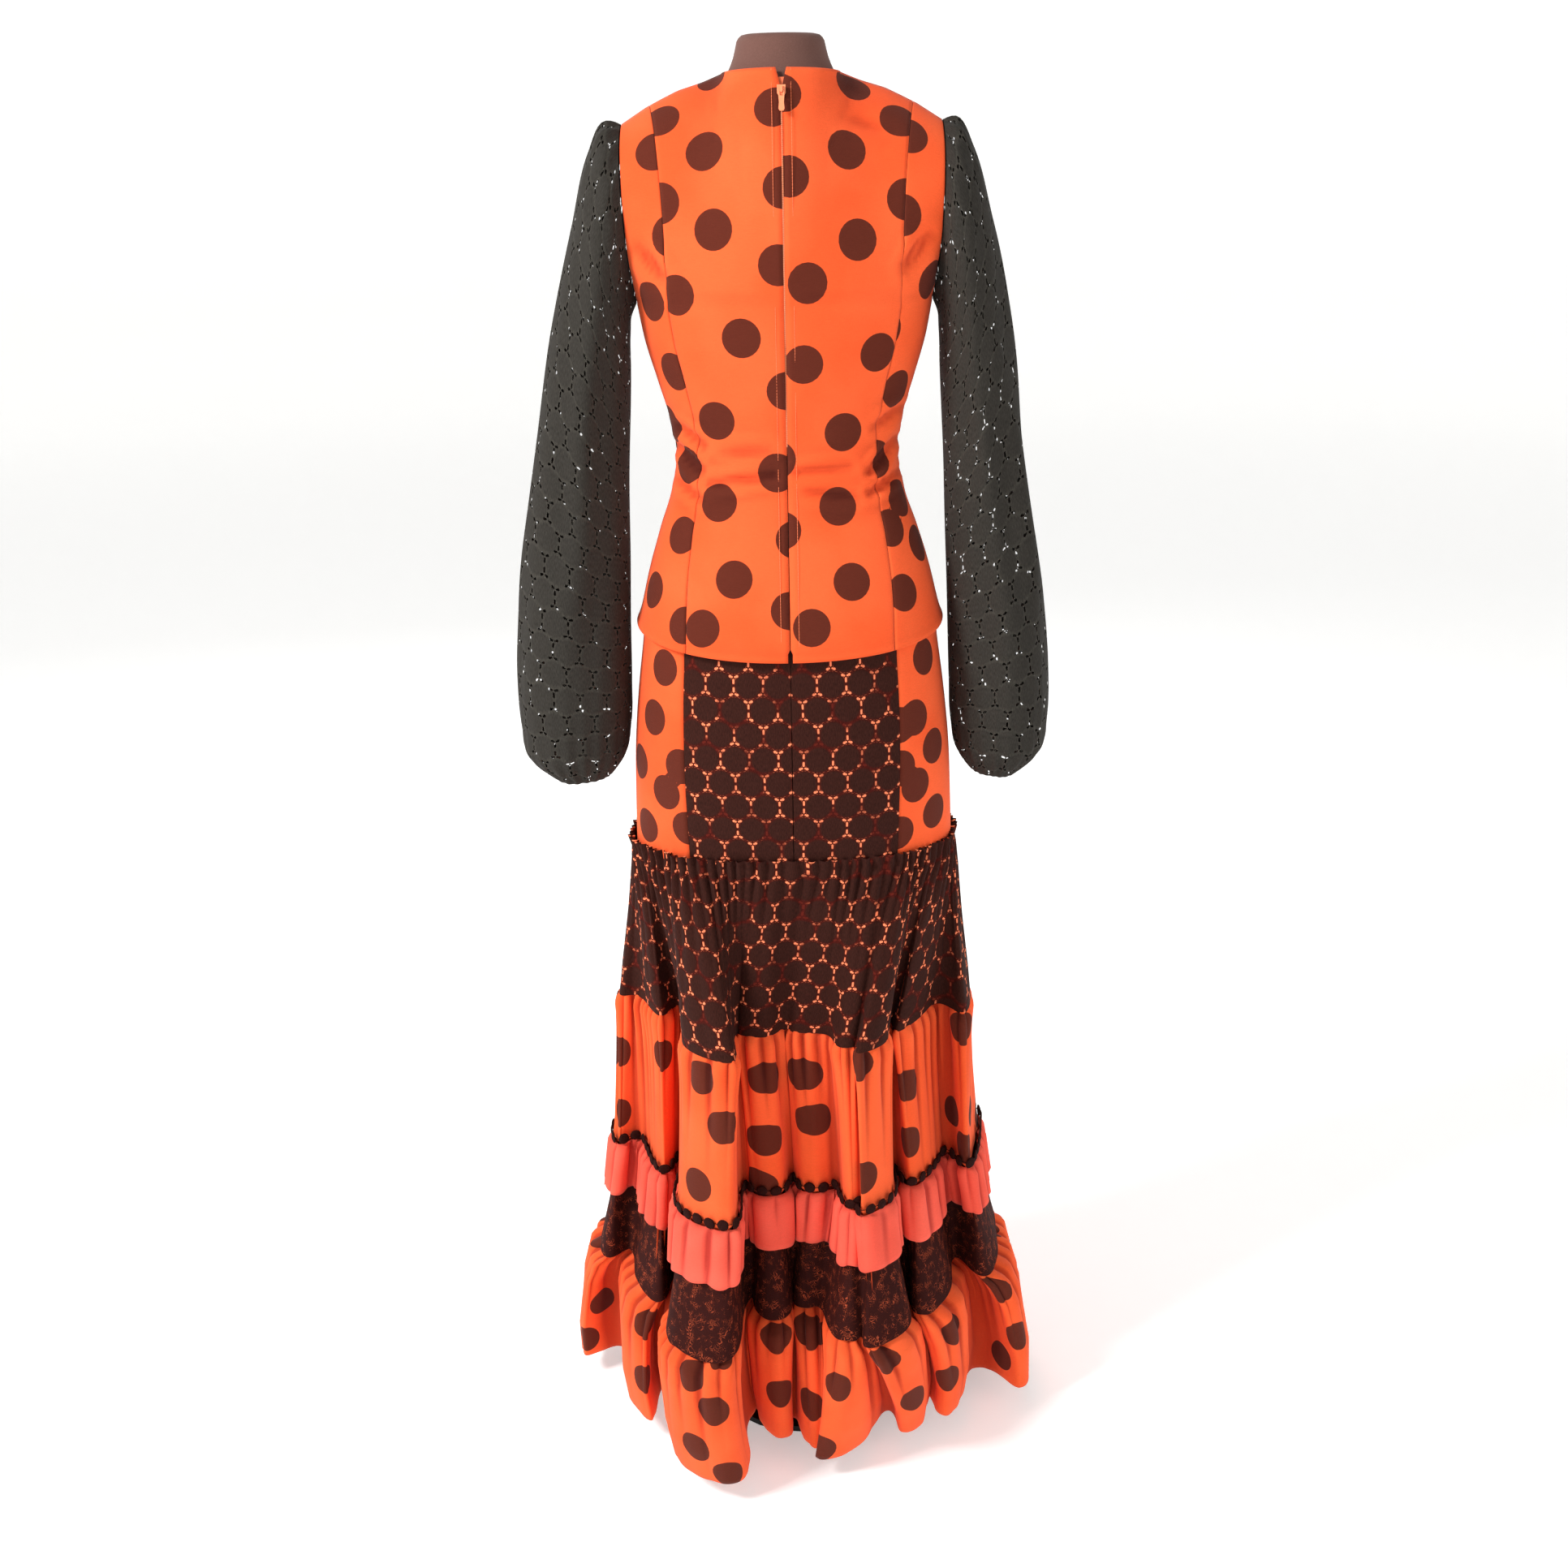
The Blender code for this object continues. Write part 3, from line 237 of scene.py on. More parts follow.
# Dots of the skirt in the same terms
SKIRT_DOTS: dict[str, Table] = {
    "yoke_side_left": (
        (130, 931), (143, 876), (116, 831), (161, 822), (133, 799), (156, 753), (111, 762),
    ),
    "yoke_side_right": (
        (-111, 872), (-138, 936), (-127, 876), (-149, 840), (-112, 826), (-129, 803), (-150, 767),
        (-111, 753),
    ),
    "tier_two": (
        (208, 446), (152, 471), (210, 366), (110, 495), (85, 446), (116, 372), (32, 471),
        (34, 397), (54, 342), (-5, 471), (-26, 415), (-58, 508), (-76, 372), (-129, 452),
        (-125, 385), (-174, 385), (-187, 495), (-183, 348), (-205, 385),
    ),
    "hem_ruffle": (
        (241, 106), (267, 53), (177, 165), (190, 89), (130, 171), (99, 130), (126, 77), (81, 42),
        (84, 194), (32, 177), (26, 94), (0, 165), (-2, 83), (-13, 48), (-36, 136), (-90, 177),
        (-134, 94), (-175, 94), (-183, 159), (-229, 171), (-237, 59), (-263, 106),
    ),
}


def linear(code: str) -> tuple[float, float, float, float]:
    """Turns an sRGB hex value into a linear colour.

    Args:
        code: Six hex digits with a leading hash.

    Returns:
        Linear red, green, blue and alpha.
    """
    parts = [int(code[i : i + 2], 16) / 255 for i in (1, 3, 5)]
    made = [p / 12.92 if p <= 0.04045 else ((p + 0.055) / 1.055) ** 2.4 for p in parts]
    return (made[0], made[1], made[2], 1.0)


def add_node(
    tree: Tree, kind: str, settings: dict | None = None, links: dict | None = None
) -> Node:
    """Adds one node with its settings and links.

    Args:
        tree: The node tree.
        kind: The node's type.
        settings: Lower-case names are the node's own options; others are inputs.
        links: For each input, the socket or the node whose first output feeds it.

    Returns:
        The new node.
    """
    node = tree.nodes.new(kind)
    for key, value in (settings or {}).items():
        if isinstance(key, str) and key[0].islower():
            setattr(node, key, value)
        else:
            node.inputs[key].default_value = value
    for key, source in (links or {}).items():
        socket = source.outputs[0] if isinstance(source, Node) else source
        tree.links.new(node.inputs[key], socket)
    return node


def new_material(name: str) -> tuple[Material, Adder]:
    """Makes an empty node material.

    Args:
        name: The material's name.

    Returns:
        The material and the function that adds a node to it.
    """
    material = bpy.data.materials.new(name)
    material.use_nodes = True
    material.node_tree.nodes.clear()
    return material, partial(add_node, material.node_tree)


MATH = "ShaderNodeMath"
VECTOR = "ShaderNodeVectorMath"
NOISE = "ShaderNodeTexNoise"
RANGE = "ShaderNodeMapRange"
MIX = "ShaderNodeMix"
BUMP = "ShaderNodeBump"
GLOSSY = "ShaderNodeBsdfPrincipled"
OUTPUT = "ShaderNodeOutputMaterial"
ATTRIBUTE = "ShaderNodeAttribute"


@dataclass(frozen=True)
class Crepe:
    """Woven polyester crepe, piece dyed and printed with round dots.

    The twisted yarns give a matt, faintly pebbled face with short slubs along the weft.
    """

    name: str
    ground: str
    shade: str
    print_colour: str | None = None
    pebble_mm: float = 1.3
    slub_mm: float = 7.0
    # Painted shade in creases: the colour is made darker and redder, as light between the two faces
    # of a crease comes out
    painted_shade_factor: tuple[float, float, float, float] = (0.56, 0.40, 0.44, 1.0)

    def make(self) -> Material:
        """Builds the material.

        Returns:
            The finished material.
        """
        material, add = new_material(self.name)
        place = add("ShaderNodeTexCoord").outputs["Object"]
        cut = add("ShaderNodeUVMap", {"uv_map": "cut"})
        cloud = add(NOISE, {"Scale": 1 / 0.09, "Detail": 2.0}, {"Vector": place})
        spread = add(RANGE, {1: 0.35, 2: 0.6, 3: 0.0, 4: 1.0}, {0: cloud})
        tones = {"data_type": "RGBA", 6: linear(self.shade), 7: linear(self.ground)}
        colour = add(MIX, tones, {0: spread}).outputs[2]
        if self.print_colour:
            edge = add(ATTRIBUTE, {"attribute_name": "dot_edge"})
            blur = {1: -0.25, 2: 0.25, 3: 1.0, 4: 0.0}
            inside = add(RANGE, blur, {0: edge.outputs["Fac"]})
            ink = {"data_type": "RGBA", 7: linear(self.print_colour)}
            colour = add(MIX, ink, {0: inside, 6: colour}).outputs[2]
        # Painted shade: the cloth's colour is darkened and reddened in creases
        crease = add(ATTRIBUTE, {"attribute_name": "hollow"})
        deep = {"data_type": "RGBA", "blend_type": "MULTIPLY", 7: self.painted_shade_factor}
        colour = add(MIX, deep, {0: crease.outputs["Fac"], 6: colour}).outputs[2]
        grain = {"Scale": 1 / (self.pebble_mm * MM), "Detail": 2.0}
        pebble = add(NOISE, grain, {"Vector": place})
        pitch = (1 / (self.slub_mm * MM), 1 / (0.9 * MM), 1.0)
        stretch = add(VECTOR, {"operation": "MULTIPLY", 1: pitch}, {0: cut})
        slub = add(NOISE, {"Scale": 1.0, "Detail": 1.0}, {"Vector": stretch})
        weave = add(MATH, {"operation": "ADD"}, {0: pebble, 1: slub})
        relief = add(BUMP, {"Strength": 0.55, "Distance": 0.35 * MM}, {"Height": weave})
        tone = add(RANGE, {1: 0.6, 2: 1.4, 3: 0.93, 4: 1.05}, {0: weave})
        scale = {0: colour, "Scale": tone.outputs[0]}
        toned = add(VECTOR, {"operation": "SCALE"}, scale)
        look = {"Roughness": 0.86, "Sheen Weight": 0.04, "Sheen Roughness": 0.5}
        look["Specular IOR Level"] = 0.10
        face = add(GLOSSY, look, {"Base Color": toned, "Normal": relief})
        add(OUTPUT, {}, {"Surface": face})
        return material


@dataclass(frozen=True)
class DiscLace:
    """Machine-embroidered lace of solid discs in staggered rows.

    Satin-stitched discs touch their neighbours. In the ground between two of them stand two
    short slots and, at each end, three eyelets. They show the lining, or else are open. The
    lining in them is painted: brighter than the cloth as painted light, with painted shade.
    """

    name: str
    thread: str
    ground: str
    # Painted into the openings: the lining, brighter than the cloth as painted light, and its
    # painted shade
    lining: str | None = None
    lining_shade: str = "#5d1d14"
    disc_pitch_mm: float = 30.0
    row_pitch_mm: float = 25.8
    outline_mm: float = 0.0
    closed_mm: float = 0.0
    wander_mm: float = 2.0
    # x and y from the middle between two discs, and radius, in millimetres
    eyelets: tuple[Triple, ...] = ((1.7, 8.8, 1.05), (3.5, 9.5, 1.40))
    slot: Triple = (4.3, 2.6, 1.05)

    def gap_place(self, add: Adder, flat: Node) -> list[Node]:
        """Finds each point's place beside the middle between two neighbouring discs.

        Args:
            add: The material's function that adds a node.
            flat: Flat cloth coordinates in millimetres.

        Returns:
            The distances aside and above, both positive.
        """
        half, row = 0.5 * self.disc_pitch_mm, self.row_pitch_mm
        parts = add("ShaderNodeSeparateXYZ", {}, {0: flat})
        rows = add(MATH, {"operation": "DIVIDE", 1: row}, {0: parts.outputs[1]})
        index = add(MATH, {"operation": "ROUND"}, {0: rows})
        odd = add(MATH, {"operation": "PINGPONG", 1: 1.0}, {0: index})
        shift = {"operation": "MULTIPLY_ADD", 1: -row}
        above = add(MATH, shift, {0: index, 2: parts.outputs[1]})
        slide = {"operation": "MULTIPLY_ADD", 1: -half}
        slid = add(MATH, slide, {0: odd, 2: parts.outputs[0]})
        columns = add(MATH, {"operation": "DIVIDE", 1: 2 * half}, {0: slid})
        nearest = add(MATH, {"operation": "ROUND"}, {0: columns})
        step = {"operation": "MULTIPLY_ADD", 1: -2 * half}
        aside = add(MATH, step, {0: nearest, 2: slid})
        wide = add(MATH, {"operation": "ABSOLUTE"}, {0: aside})
        high = add(MATH, {"operation": "ABSOLUTE"}, {0: above})
        return [wide, high]

    def openings(self, add: Adder, place: list[Node], disc: Node) -> Node:
        """Measures how far each point lies outside the nearest opening.

        Args:
            add: The material's function that adds a node.
            place: The distances from gap_place.
            disc: Distance from the nearest disc's centre.

        Returns:
            Millimetres, negative inside an opening.
        """
        wide, high = place
        spot = add("ShaderNodeCombineXYZ", {}, {0: wide, 1: high})
        middle, reach, radius = self.slot
        over = add(MATH, {"operation": "SUBTRACT", 1: middle}, {0: high})
        from_middle = add(MATH, {"operation": "ABSOLUTE"}, {0: over})
        past = add(MATH, {"operation": "SUBTRACT", 1: reach - radius}, {0: from_middle})
        beyond = add(MATH, {"operation": "MAXIMUM", 1: 0.0}, {0: past})
        end = add("ShaderNodeCombineXYZ", {}, {0: wide, 1: beyond})
        away = add(VECTOR, {"operation": "LENGTH"}, {0: end})
        holes = add(MATH, {"operation": "SUBTRACT", 1: radius}, {0: away.outputs[1]})
        for x, y, size in self.eyelets:
            away = add(VECTOR, {"operation": "DISTANCE", 1: (x, y, 0)}, {0: spot})
            gap = add(MATH, {"operation": "SUBTRACT", 1: size}, {0: away.outputs[1]})
            holes = add(MATH, {"operation": "MINIMUM"}, {0: holes, 1: gap})
        radius = 0.955 * 0.5 * self.disc_pitch_mm
        rim = add(MATH, {"operation": "SUBTRACT", 1: radius}, {0: disc})
        from_rim = add(MATH, {"operation": "ABSOLUTE"}, {0: rim})
        line = add(MATH, {"operation": "SUBTRACT", 1: self.outline_mm}, {0: from_rim})
        dashes = add(NOISE, {"Scale": 0.5, "Detail": 0.0}, {"Vector": spot})
        cut = {"operation": "MULTIPLY_ADD", 1: -9.0, 2: 4.7}
        broken = add(MATH, cut, {0: dashes})
        stitched = add(MATH, {"operation": "MAXIMUM"}, {0: line, 1: broken})
        opening = add(MATH, {"operation": "MINIMUM"}, {0: holes, 1: stitched})
        return add(MATH, {"operation": "ADD", 1: self.closed_mm}, {0: opening})

    def make(self) -> Material:
        """Builds the material.

        Returns:
            The finished material.
        """
        material, add = new_material(self.name)
        half, row = 0.5 * self.disc_pitch_mm, self.row_pitch_mm
        cut = add("ShaderNodeUVMap", {"uv_map": "cut"})
        flat = add(VECTOR, {"operation": "SCALE", "Scale": 1000.0}, {0: cut})
        drift = add(NOISE, {"Scale": 0.03, "Detail": 1.0}, {"Vector": flat})
        pull = {"operation": "MULTIPLY_ADD", 1: (self.wander_mm, self.wander_mm, 0.0)}
        moved = add(VECTOR, pull, {0: drift.outputs[1], 2: flat})
        wide, high = self.gap_place(add, moved)
        spot = add("ShaderNodeCombineXYZ", {}, {0: wide, 1: high})
        beside = add(VECTOR, {"operation": "DISTANCE", 1: (half, 0, 0)}, {0: spot})
        over = add(VECTOR, {"operation": "DISTANCE", 1: (0, row, 0)}, {0: spot})
        nearer = {0: beside.outputs[1], 1: over.outputs[1]}
        disc = add(MATH, {"operation": "MINIMUM"}, nearer)
        opening = self.openings(add, [wide, high], disc)
        solid = add(RANGE, {1: -0.25, 2: 0.25, 3: 0.0, 4: 1.0}, {0: opening})
        satin = add(VECTOR, {"operation": "MULTIPLY", 1: (1.1, 0.25, 1.0)}, {0: flat})
        threads = add(NOISE, {"Scale": 1.0, "Detail": 1.0}, {"Vector": satin})
        dome = add(RANGE, {1: 0.80 * half, 2: 0.96 * half, 3: 1.0, 4: 0.0}, {0: disc})
        swell = add(MATH, {"operation": "MULTIPLY_ADD", 1: 0.5}, {0: threads, 2: dome})
        relief = add(BUMP, {"Strength": 0.8, "Distance": 0.5 * MM}, {"Height": swell})
        yarn = {"data_type": "RGBA", 6: linear(self.ground), 7: linear(self.thread)}
        colour = add(MIX, yarn, {0: dome})
        tone = add(RANGE, {1: 0.3, 2: 0.7, 3: 0.75, 4: 1.25}, {0: threads})
        toned = {0: colour.outputs[2], "Scale": tone.outputs[0]}
        face_colour = add(VECTOR, {"operation": "SCALE"}, toned).outputs[0]
        face_links = {"Normal": relief}
        if self.lining:
            # Painted light and shade on the lining in the openings: lit where it lies near, shaded
            # where deeper
            depth = add(NOISE, {"Scale": 0.032, "Detail": 1.0}, {"Vector": flat})
            near = add(RANGE, {1: 0.40, 2: 0.52, 3: 0.0, 4: 1.0}, {0: depth})
            cloth = {"data_type": "RGBA", 6: linear(self.lining_shade), 7: linear(self.lining)}
            behind = add(MIX, cloth, {0: near})
            shown = {0: solid, 6: behind.outputs[2], 7: face_colour}
            face_colour = add(MIX, {"data_type": "RGBA"}, shown).outputs[2]
        else:
            face_links["Alpha"] = solid
        face_links["Base Color"] = face_colour
        look = {"Roughness": 0.78, "Specular IOR Level": 0.06, "Sheen Weight": 0.015}
        face = add(GLOSSY, look, face_links)
        add(OUTPUT, {}, {"Surface": face})
        return material


@dataclass(frozen=True)
class FloralLace:
    """Narrow raschel lace edging with a dense floral ground and small open curls.

    The curls show the orange cloth behind them, muted by a fine net.
    """

    name: str
    thread: str
    light_thread: str
    lining: str
    curl_mm: float = 5.5

    def make(self) -> Material:
        """Builds the material.

        Returns:
            The finished material.
        """
        material, add = new_material(self.name)
        cut = add("ShaderNodeUVMap", {"uv_map": "cut"})
        flat = add(VECTOR, {"operation": "SCALE", "Scale": 1000.0}, {0: cut})
        swirl = add(NOISE, {"Scale": 0.11, "Detail": 2.0}, {"Vector": flat})
        bend = {"operation": "MULTIPLY_ADD", 1: (14, 14, 0)}
        pull = add(VECTOR, bend, {0: swirl.outputs[1], 2: flat})
        mesh = {"feature": "DISTANCE_TO_EDGE", "voronoi_dimensions": "2D"}
        mesh["Scale"] = 1 / self.curl_mm
        cells = add("ShaderNodeTexVoronoi", mesh, {"Vector": pull})
        ring = add(MATH, {"operation": "SUBTRACT", 1: 0.17}, {0: cells})
        curl = add(MATH, {"operation": "ABSOLUTE"}, {0: ring})
        clumps = add(NOISE, {"Scale": 0.09, "Detail": 2.0}, {"Vector": flat})
        cover = add(RANGE, {1: 0.42, 2: 0.60, 3: 0.10, 4: 0.0}, {0: clumps})
        covered = add(MATH, {"operation": "ADD"}, {0: curl, 1: cover})
        solid = add(RANGE, {1: 0.03, 2: 0.09, 3: 0.0, 4: 1.0}, {0: covered})
        net = add(NOISE, {"Scale": 0.9, "Detail": 1.0}, {"Vector": flat})
        raised = add(MATH, {"operation": "MULTIPLY_ADD", 1: 0.5}, {0: net, 2: solid})
        relief = add(BUMP, {"Strength": 0.8, "Distance": 0.6 * MM}, {"Height": raised})
        yarn = {"data_type": "RGBA", 6: linear(self.thread), 7: linear(self.light_thread)}
        colour = add(MIX, yarn, {0: net})
        ground = {"data_type": "RGBA", 6: linear(self.lining)}
        shown = add(MIX, ground, {0: solid, 7: colour.outputs[2]})
        look = {"Roughness": 0.8, "Specular IOR Level": 0.06}
        face = add(GLOSSY, look, {"Base Color": shown.outputs[2], "Normal": relief})
        add(OUTPUT, {}, {"Surface": face})
        return material


@dataclass(frozen=True)
class Finish:
    """A hard or knitted finish with the grain and the uneven tone of the real material."""

    name: str
    colour: str
    second: str
    grain_mm: float
    relief_mm: float
    roughness: float
    metallic: float = 0.0
    sheen: float = 0.0
    specular: float = 0.5
    glow: float = 0.0

    def make(self) -> Material:
        """Builds the material.

        Returns:
            The finished material.
        """
        material, add = new_material(self.name)
        place = add("ShaderNodeTexCoord").outputs["Object"]
        size = {"Scale": 1 / (self.grain_mm * MM), "Detail": 3.0}
        grain = add(NOISE, size, {"Vector": place})
        bumps = {"Strength": 0.6, "Distance": self.relief_mm * MM}
        relief = add(BUMP, bumps, {"Height": grain})
        tones = {"data_type": "RGBA", 6: linear(self.colour), 7: linear(self.second)}
        colour = add(MIX, tones, {0: grain})
        spread = {1: 0.3, 2: 0.7, 3: self.roughness - 0.06, 4: self.roughness + 0.08}
        rough = add(RANGE, spread, {0: grain})
        look = {
            "Metallic": self.metallic,
            "Specular IOR Level": self.specular,
            "Sheen Weight": self.sheen,
            "Emission Color": linear(self.second),
            "Emission Strength": self.glow,
        }
        links = {"Base Color": colour.outputs[2], "Normal": relief, "Roughness": rough.outputs[0]}
        face = add(GLOSSY, look, links)
        add(OUTPUT, {}, {"Surface": face})
        return material


def made(finish: Crepe | DiscLace | FloralLace | Finish) -> Material:
    """A field that holds the material of a finish."""
    return field(default_factory=finish.make)


@dataclass
class Wardrobe:
    """Every material of the dress, made once."""

    # Printed crepe: a matt warm orange ground whose dots are dark brown and flat
    dotted: Material = made(Crepe("dotted_crepe", "#fb6435", "#f35a2c", "#5e2619"))
    # The same crepe unprinted, seen only through the lace
    plain: Material = made(Crepe("plain_orange_lining", "#f8612f", "#ea5526"))
    # Piece-dyed crepe: pinker and lighter than the printed one
    coral: Material = made(Crepe("coral_crepe", "#fb6450", "#ef5744"))
    # Embroidered lace: near-black brown discs whose openings show the lining's orange, painted in
    # as painted light with painted shade
    skirt_lace: Material = made(
        DiscLace("embroidered_disc_lace", "#351913", "#43120c", lining="#ff8a60")
    )
    # Sheer lace: charcoal discs with small holes that sparkle against the light
    sleeve_lace: Material = made(
        DiscLace(
            "sheer_embroidered_lace", "#33302c", "#3a3732",
            outline_mm=-0.10, closed_mm=0.05, wander_mm=5.0,
        )
    )
    # Raschel edging: a dense dark floral ground, livelier than the disc lace
    edging: Material = made(FloralLace("floral_raschel_lace", "#280e0c", "#401a16", "#a5492f"))
    # Spun polyester thread: a fine light line on the cloth
    thread: Material = made(Finish("polyester_thread", "#ee6a3a", "#f98a5c", 0.6, 0.1, 0.6))
    # Cotton braid: soft dark crocheted ovals
    dark_thread: Material = made(
        Finish("crocheted_cotton_braid", "#1f0b08", "#331511", 1.2, 0.6, 0.85, specular=0.08)
    )
    # Brushed jersey: the form's dull brown-grey cover
    jersey: Material = made(
        Finish(
            "brushed_jersey_cover", "#5f4038", "#75534a", 1.4, 0.3, 0.9, sheen=0.08, specular=0.15
        )
    )
    # Blackened steel: a dark satin pole and foot
    steel: Material = made(Finish("blackened_steel", "#1d1c1c", "#2a2929", 2.0, 0.1, 0.42, 0.9))
    # Moulded nylon and lacquer: the zip's small bright highlights
    nylon: Material = made(Finish("moulded_nylon", "#ff8f5c", "#ffa47a", 0.8, 0.05, 0.35))
    # Woven tape: a duller orange strip behind the coil
    tape: Material = made(Finish("woven_zip_tape", "#e9683a", "#f5845a", 0.8, 0.2, 0.8))


def hermite(t: Array, ends: tuple[Array, Array], slopes: tuple[Array, Array]) -> Array:
    """Blends between two values along a smooth curve.

    Args:
        t: Shares of the way, 0 to 1.
        ends: The values at both ends.
        slopes: The curve's slopes there, times the length of the way.

    Returns:
        The values in between.
    """
    value = ends[0] * (2 * t**3 - 3 * t**2 + 1) + ends[1] * (3 * t**2 - 2 * t**3)
    return value + slopes[0] * (t**3 - 2 * t**2 + t) + slopes[1] * (t**3 - t**2)


def smooth_read(table: Table, index: int, at: Array) -> Array:
    """Reads a table column with a smooth curve through its rows.

    Args:
        table: Rows whose first column is the key.
        index: The column to read.
        at: The keys to read it at.

    Returns:
        The values, in the shape of the keys.
    """
    rows = np.array(table)
    keys, values = rows[:, 0], rows[:, index]
    slopes = np.gradient(values, keys)
    at = np.clip(at, keys[0], keys[-1])
    i = np.clip(np.searchsorted(keys, at) - 1, 0, len(keys) - 2)
    span = keys[i + 1] - keys[i]
    ends = (values[i], values[i + 1])
    return hermite((at - keys[i]) / span, ends, (span * slopes[i], span * slopes[i + 1]))


def steps_read(table: Table, at: Array) -> Array:
    """Reads a two-column table in straight steps."""
    return np.interp(at, *np.array(table).T)


def averaged(points: Array, times: int) -> Array:
    """Evens out a closed line of points.

    Args:
        points: Points of the line in order.
        times: How often each point is averaged with its neighbours.

    Returns:
        The smoother line.
    """
    for _ in range(times):
        points = 0.25 * np.roll(points, 1, 0) + 0.5 * points + 0.25 * np.roll(points, -1, 0)
    return points


def running_length(line: Array) -> Array:
    """Measures how far along a line each of its points lies.

    Args:
        line: Points in order.

    Returns:
        Metres from the first point.
    """
    return np.concatenate([[0.0], np.cumsum(np.linalg.norm(np.diff(line, axis=0), axis=1))])


def read_line(line: Array, run: Array, at: Array | float) -> Array:
    """Reads a line at given distances along it.

    Args:
        line: Points, or values for each point.
        run: The distance of each point along the line.
        at: Where to read it.

    Returns:
        The points or values there, in the last axis.
    """
    return np.stack([np.interp(at, run, line[:, k]) for k in range(line.shape[1])], -1)


def unit(vectors: Array) -> Array:
    """Vectors of the last axis at length one."""
    return vectors / np.linalg.norm(vectors, axis=-1, keepdims=True)


def ring_faces(
    rings: int, sides: int, base: int = 0, wrapped: bool = False
) -> Faces:
    """Quads between rings of points that lie one after another.

    Args:
        rings: How many rings.
        sides: Points in each ring.
        base: Number of the first point.
        wrapped: Whether the last ring joins the first.

    Returns:
        The faces.
    """
    made: Faces = []
    for r in range(rings if wrapped else rings - 1):
        low, high = base + r * sides, base + (r + 1) % rings * sides
        for k in range(sides):
            j = (k + 1) % sides
            made.append((low + k, low + j, high + j, high + k))
    return made


def section_points(table: Table, z: Array, angle: Array, inset: float = 0.0) -> Array:
    """Points on a body section.

    Args:
        table: The section table.
        z: Heights.
        angle: Angles from the left side, over the back.
        inset: How far inside the table's outline the points lie.

    Returns:
        Points, one row more than the inputs' shape.
    """
    z, angle = np.broadcast_arrays(np.asarray(z, float), np.asarray(angle, float))
    half = smooth_read(table, 1, z) - inset
    back = smooth_read(table, 2, z) - inset
    front = smooth_read(table, 3, z) - inset
    c, s = np.cos(angle), np.sin(angle)
    x = half * np.sign(c) * np.abs(c) ** SECTION_POWER
    y = np.where(s >= 0, back, front) * np.sign(s) * np.abs(s) ** SECTION_POWER
    return np.stack([x, y, z], axis=-1)


def upper_edge(share: Array, back: bool, inset: float) -> Array:
    """The neckline and then the shoulder line, from centre to armhole.

    Args:
        share: Shares of the way from centre to side.
        back: True for the back, false for the front.
        inset: How far inside the outline the points lie.

    Returns:
        Points with x on the positive side.
    """
    rows = np.array(SHOULDER)
    a = 0.5 * math.pi * np.minimum(share / NECK_SHARE, 1.0)
    depth, low = NECK_BACK if back else NECK_FRONT
    y = SHOULDER_Y + (depth - SHOULDER_Y) * np.cos(a)
    z = rows[0, 1] + (low - rows[0, 1]) * np.cos(a)
    neck = np.stack([rows[0, 0] * np.sin(a), y, z], axis=-1)
    neck -= inset * np.stack(
        [np.sin(a), math.copysign(1.0, depth) * np.cos(a), np.full_like(a, 0.35)], axis=-1
    )
    along = np.clip((share - NECK_SHARE) / (1 - NECK_SHARE), 0.0, 1.0)
    x = rows[0, 0] + along * (rows[-1, 0] - rows[0, 0])
    height = np.interp(x, rows[:, 0], rows[:, 1])
    line = np.stack([x, np.full_like(x, SHOULDER_Y), height], axis=-1)
    line -= inset * np.stack([0.4 + 0.6 * along, np.zeros_like(x), np.ones_like(x)], axis=-1)
    return np.where((share <= NECK_SHARE)[..., None], neck, line)


def upper_points(share: Array, back: bool, rise: Array, inset: float = 0.0) -> Array:
    """Points on the top above the underarm.

    Args:
        share: Shares of the way from centre to side.
        back: True for the back, false for the front.
        rise: 0 at the underarm and 1 at the upper edge, same shape as share.
        inset: How far inside the outline the points lie.

    Returns:
        Points with x on the positive side.
    """
    angle = 0.5 * math.pi * (1 - share)
    side = 1.0 if back else -1.0
    low = section_points(TOP_SECTIONS, np.full_like(share, UNDERARM_Z), side * angle, inset)
    high = upper_edge(share, back, inset)
    swell = np.clip(4 * rise * (1 - rise), 0.0, 1.0)
    bulge = (0.021 if back else 0.013) + (0.034 if back else 0.037) * share**2
    bulge = bulge - inset * share**2
    point = low + (high - low) * rise[..., None]
    point[..., 1] += side * bulge * swell ** (1 - 0.35 * share**2)
    point[..., 0] += 0.003 * share * swell
    point[..., 2] += (0.010 + 0.016 * np.sin(math.pi * share)) * swell
    return point


def grid_normals(grid: Array, closed: bool, outward: float) -> Array:
    """Unit normals of a grid of points.

    Args:
        grid: Rows and columns of points.
        closed: Whether the columns run all the way round.
        outward: 1 or -1, whichever makes the normals face outward.

    Returns:
        A normal for each point.
    """
    if closed:
        across = np.roll(grid, -1, axis=1) - np.roll(grid, 1, axis=1)
    else:
        across = np.gradient(grid, axis=1)
    normal = np.cross(across, np.gradient(grid, axis=0)) * outward
    return normal / np.maximum(np.linalg.norm(normal, axis=2, keepdims=True), 1e-12)


# How hollows are measured for the painted crease shade: axis, points to each side, depth of a full
# crease and its weight
RING_HOLLOWS = ((1, 4, 0.0024, 1.0), (1, 14, 0.016, 0.7))
PANEL_HOLLOWS = ((1, 2, 0.0022, 0.6), (0, 2, 0.0022, 0.6))


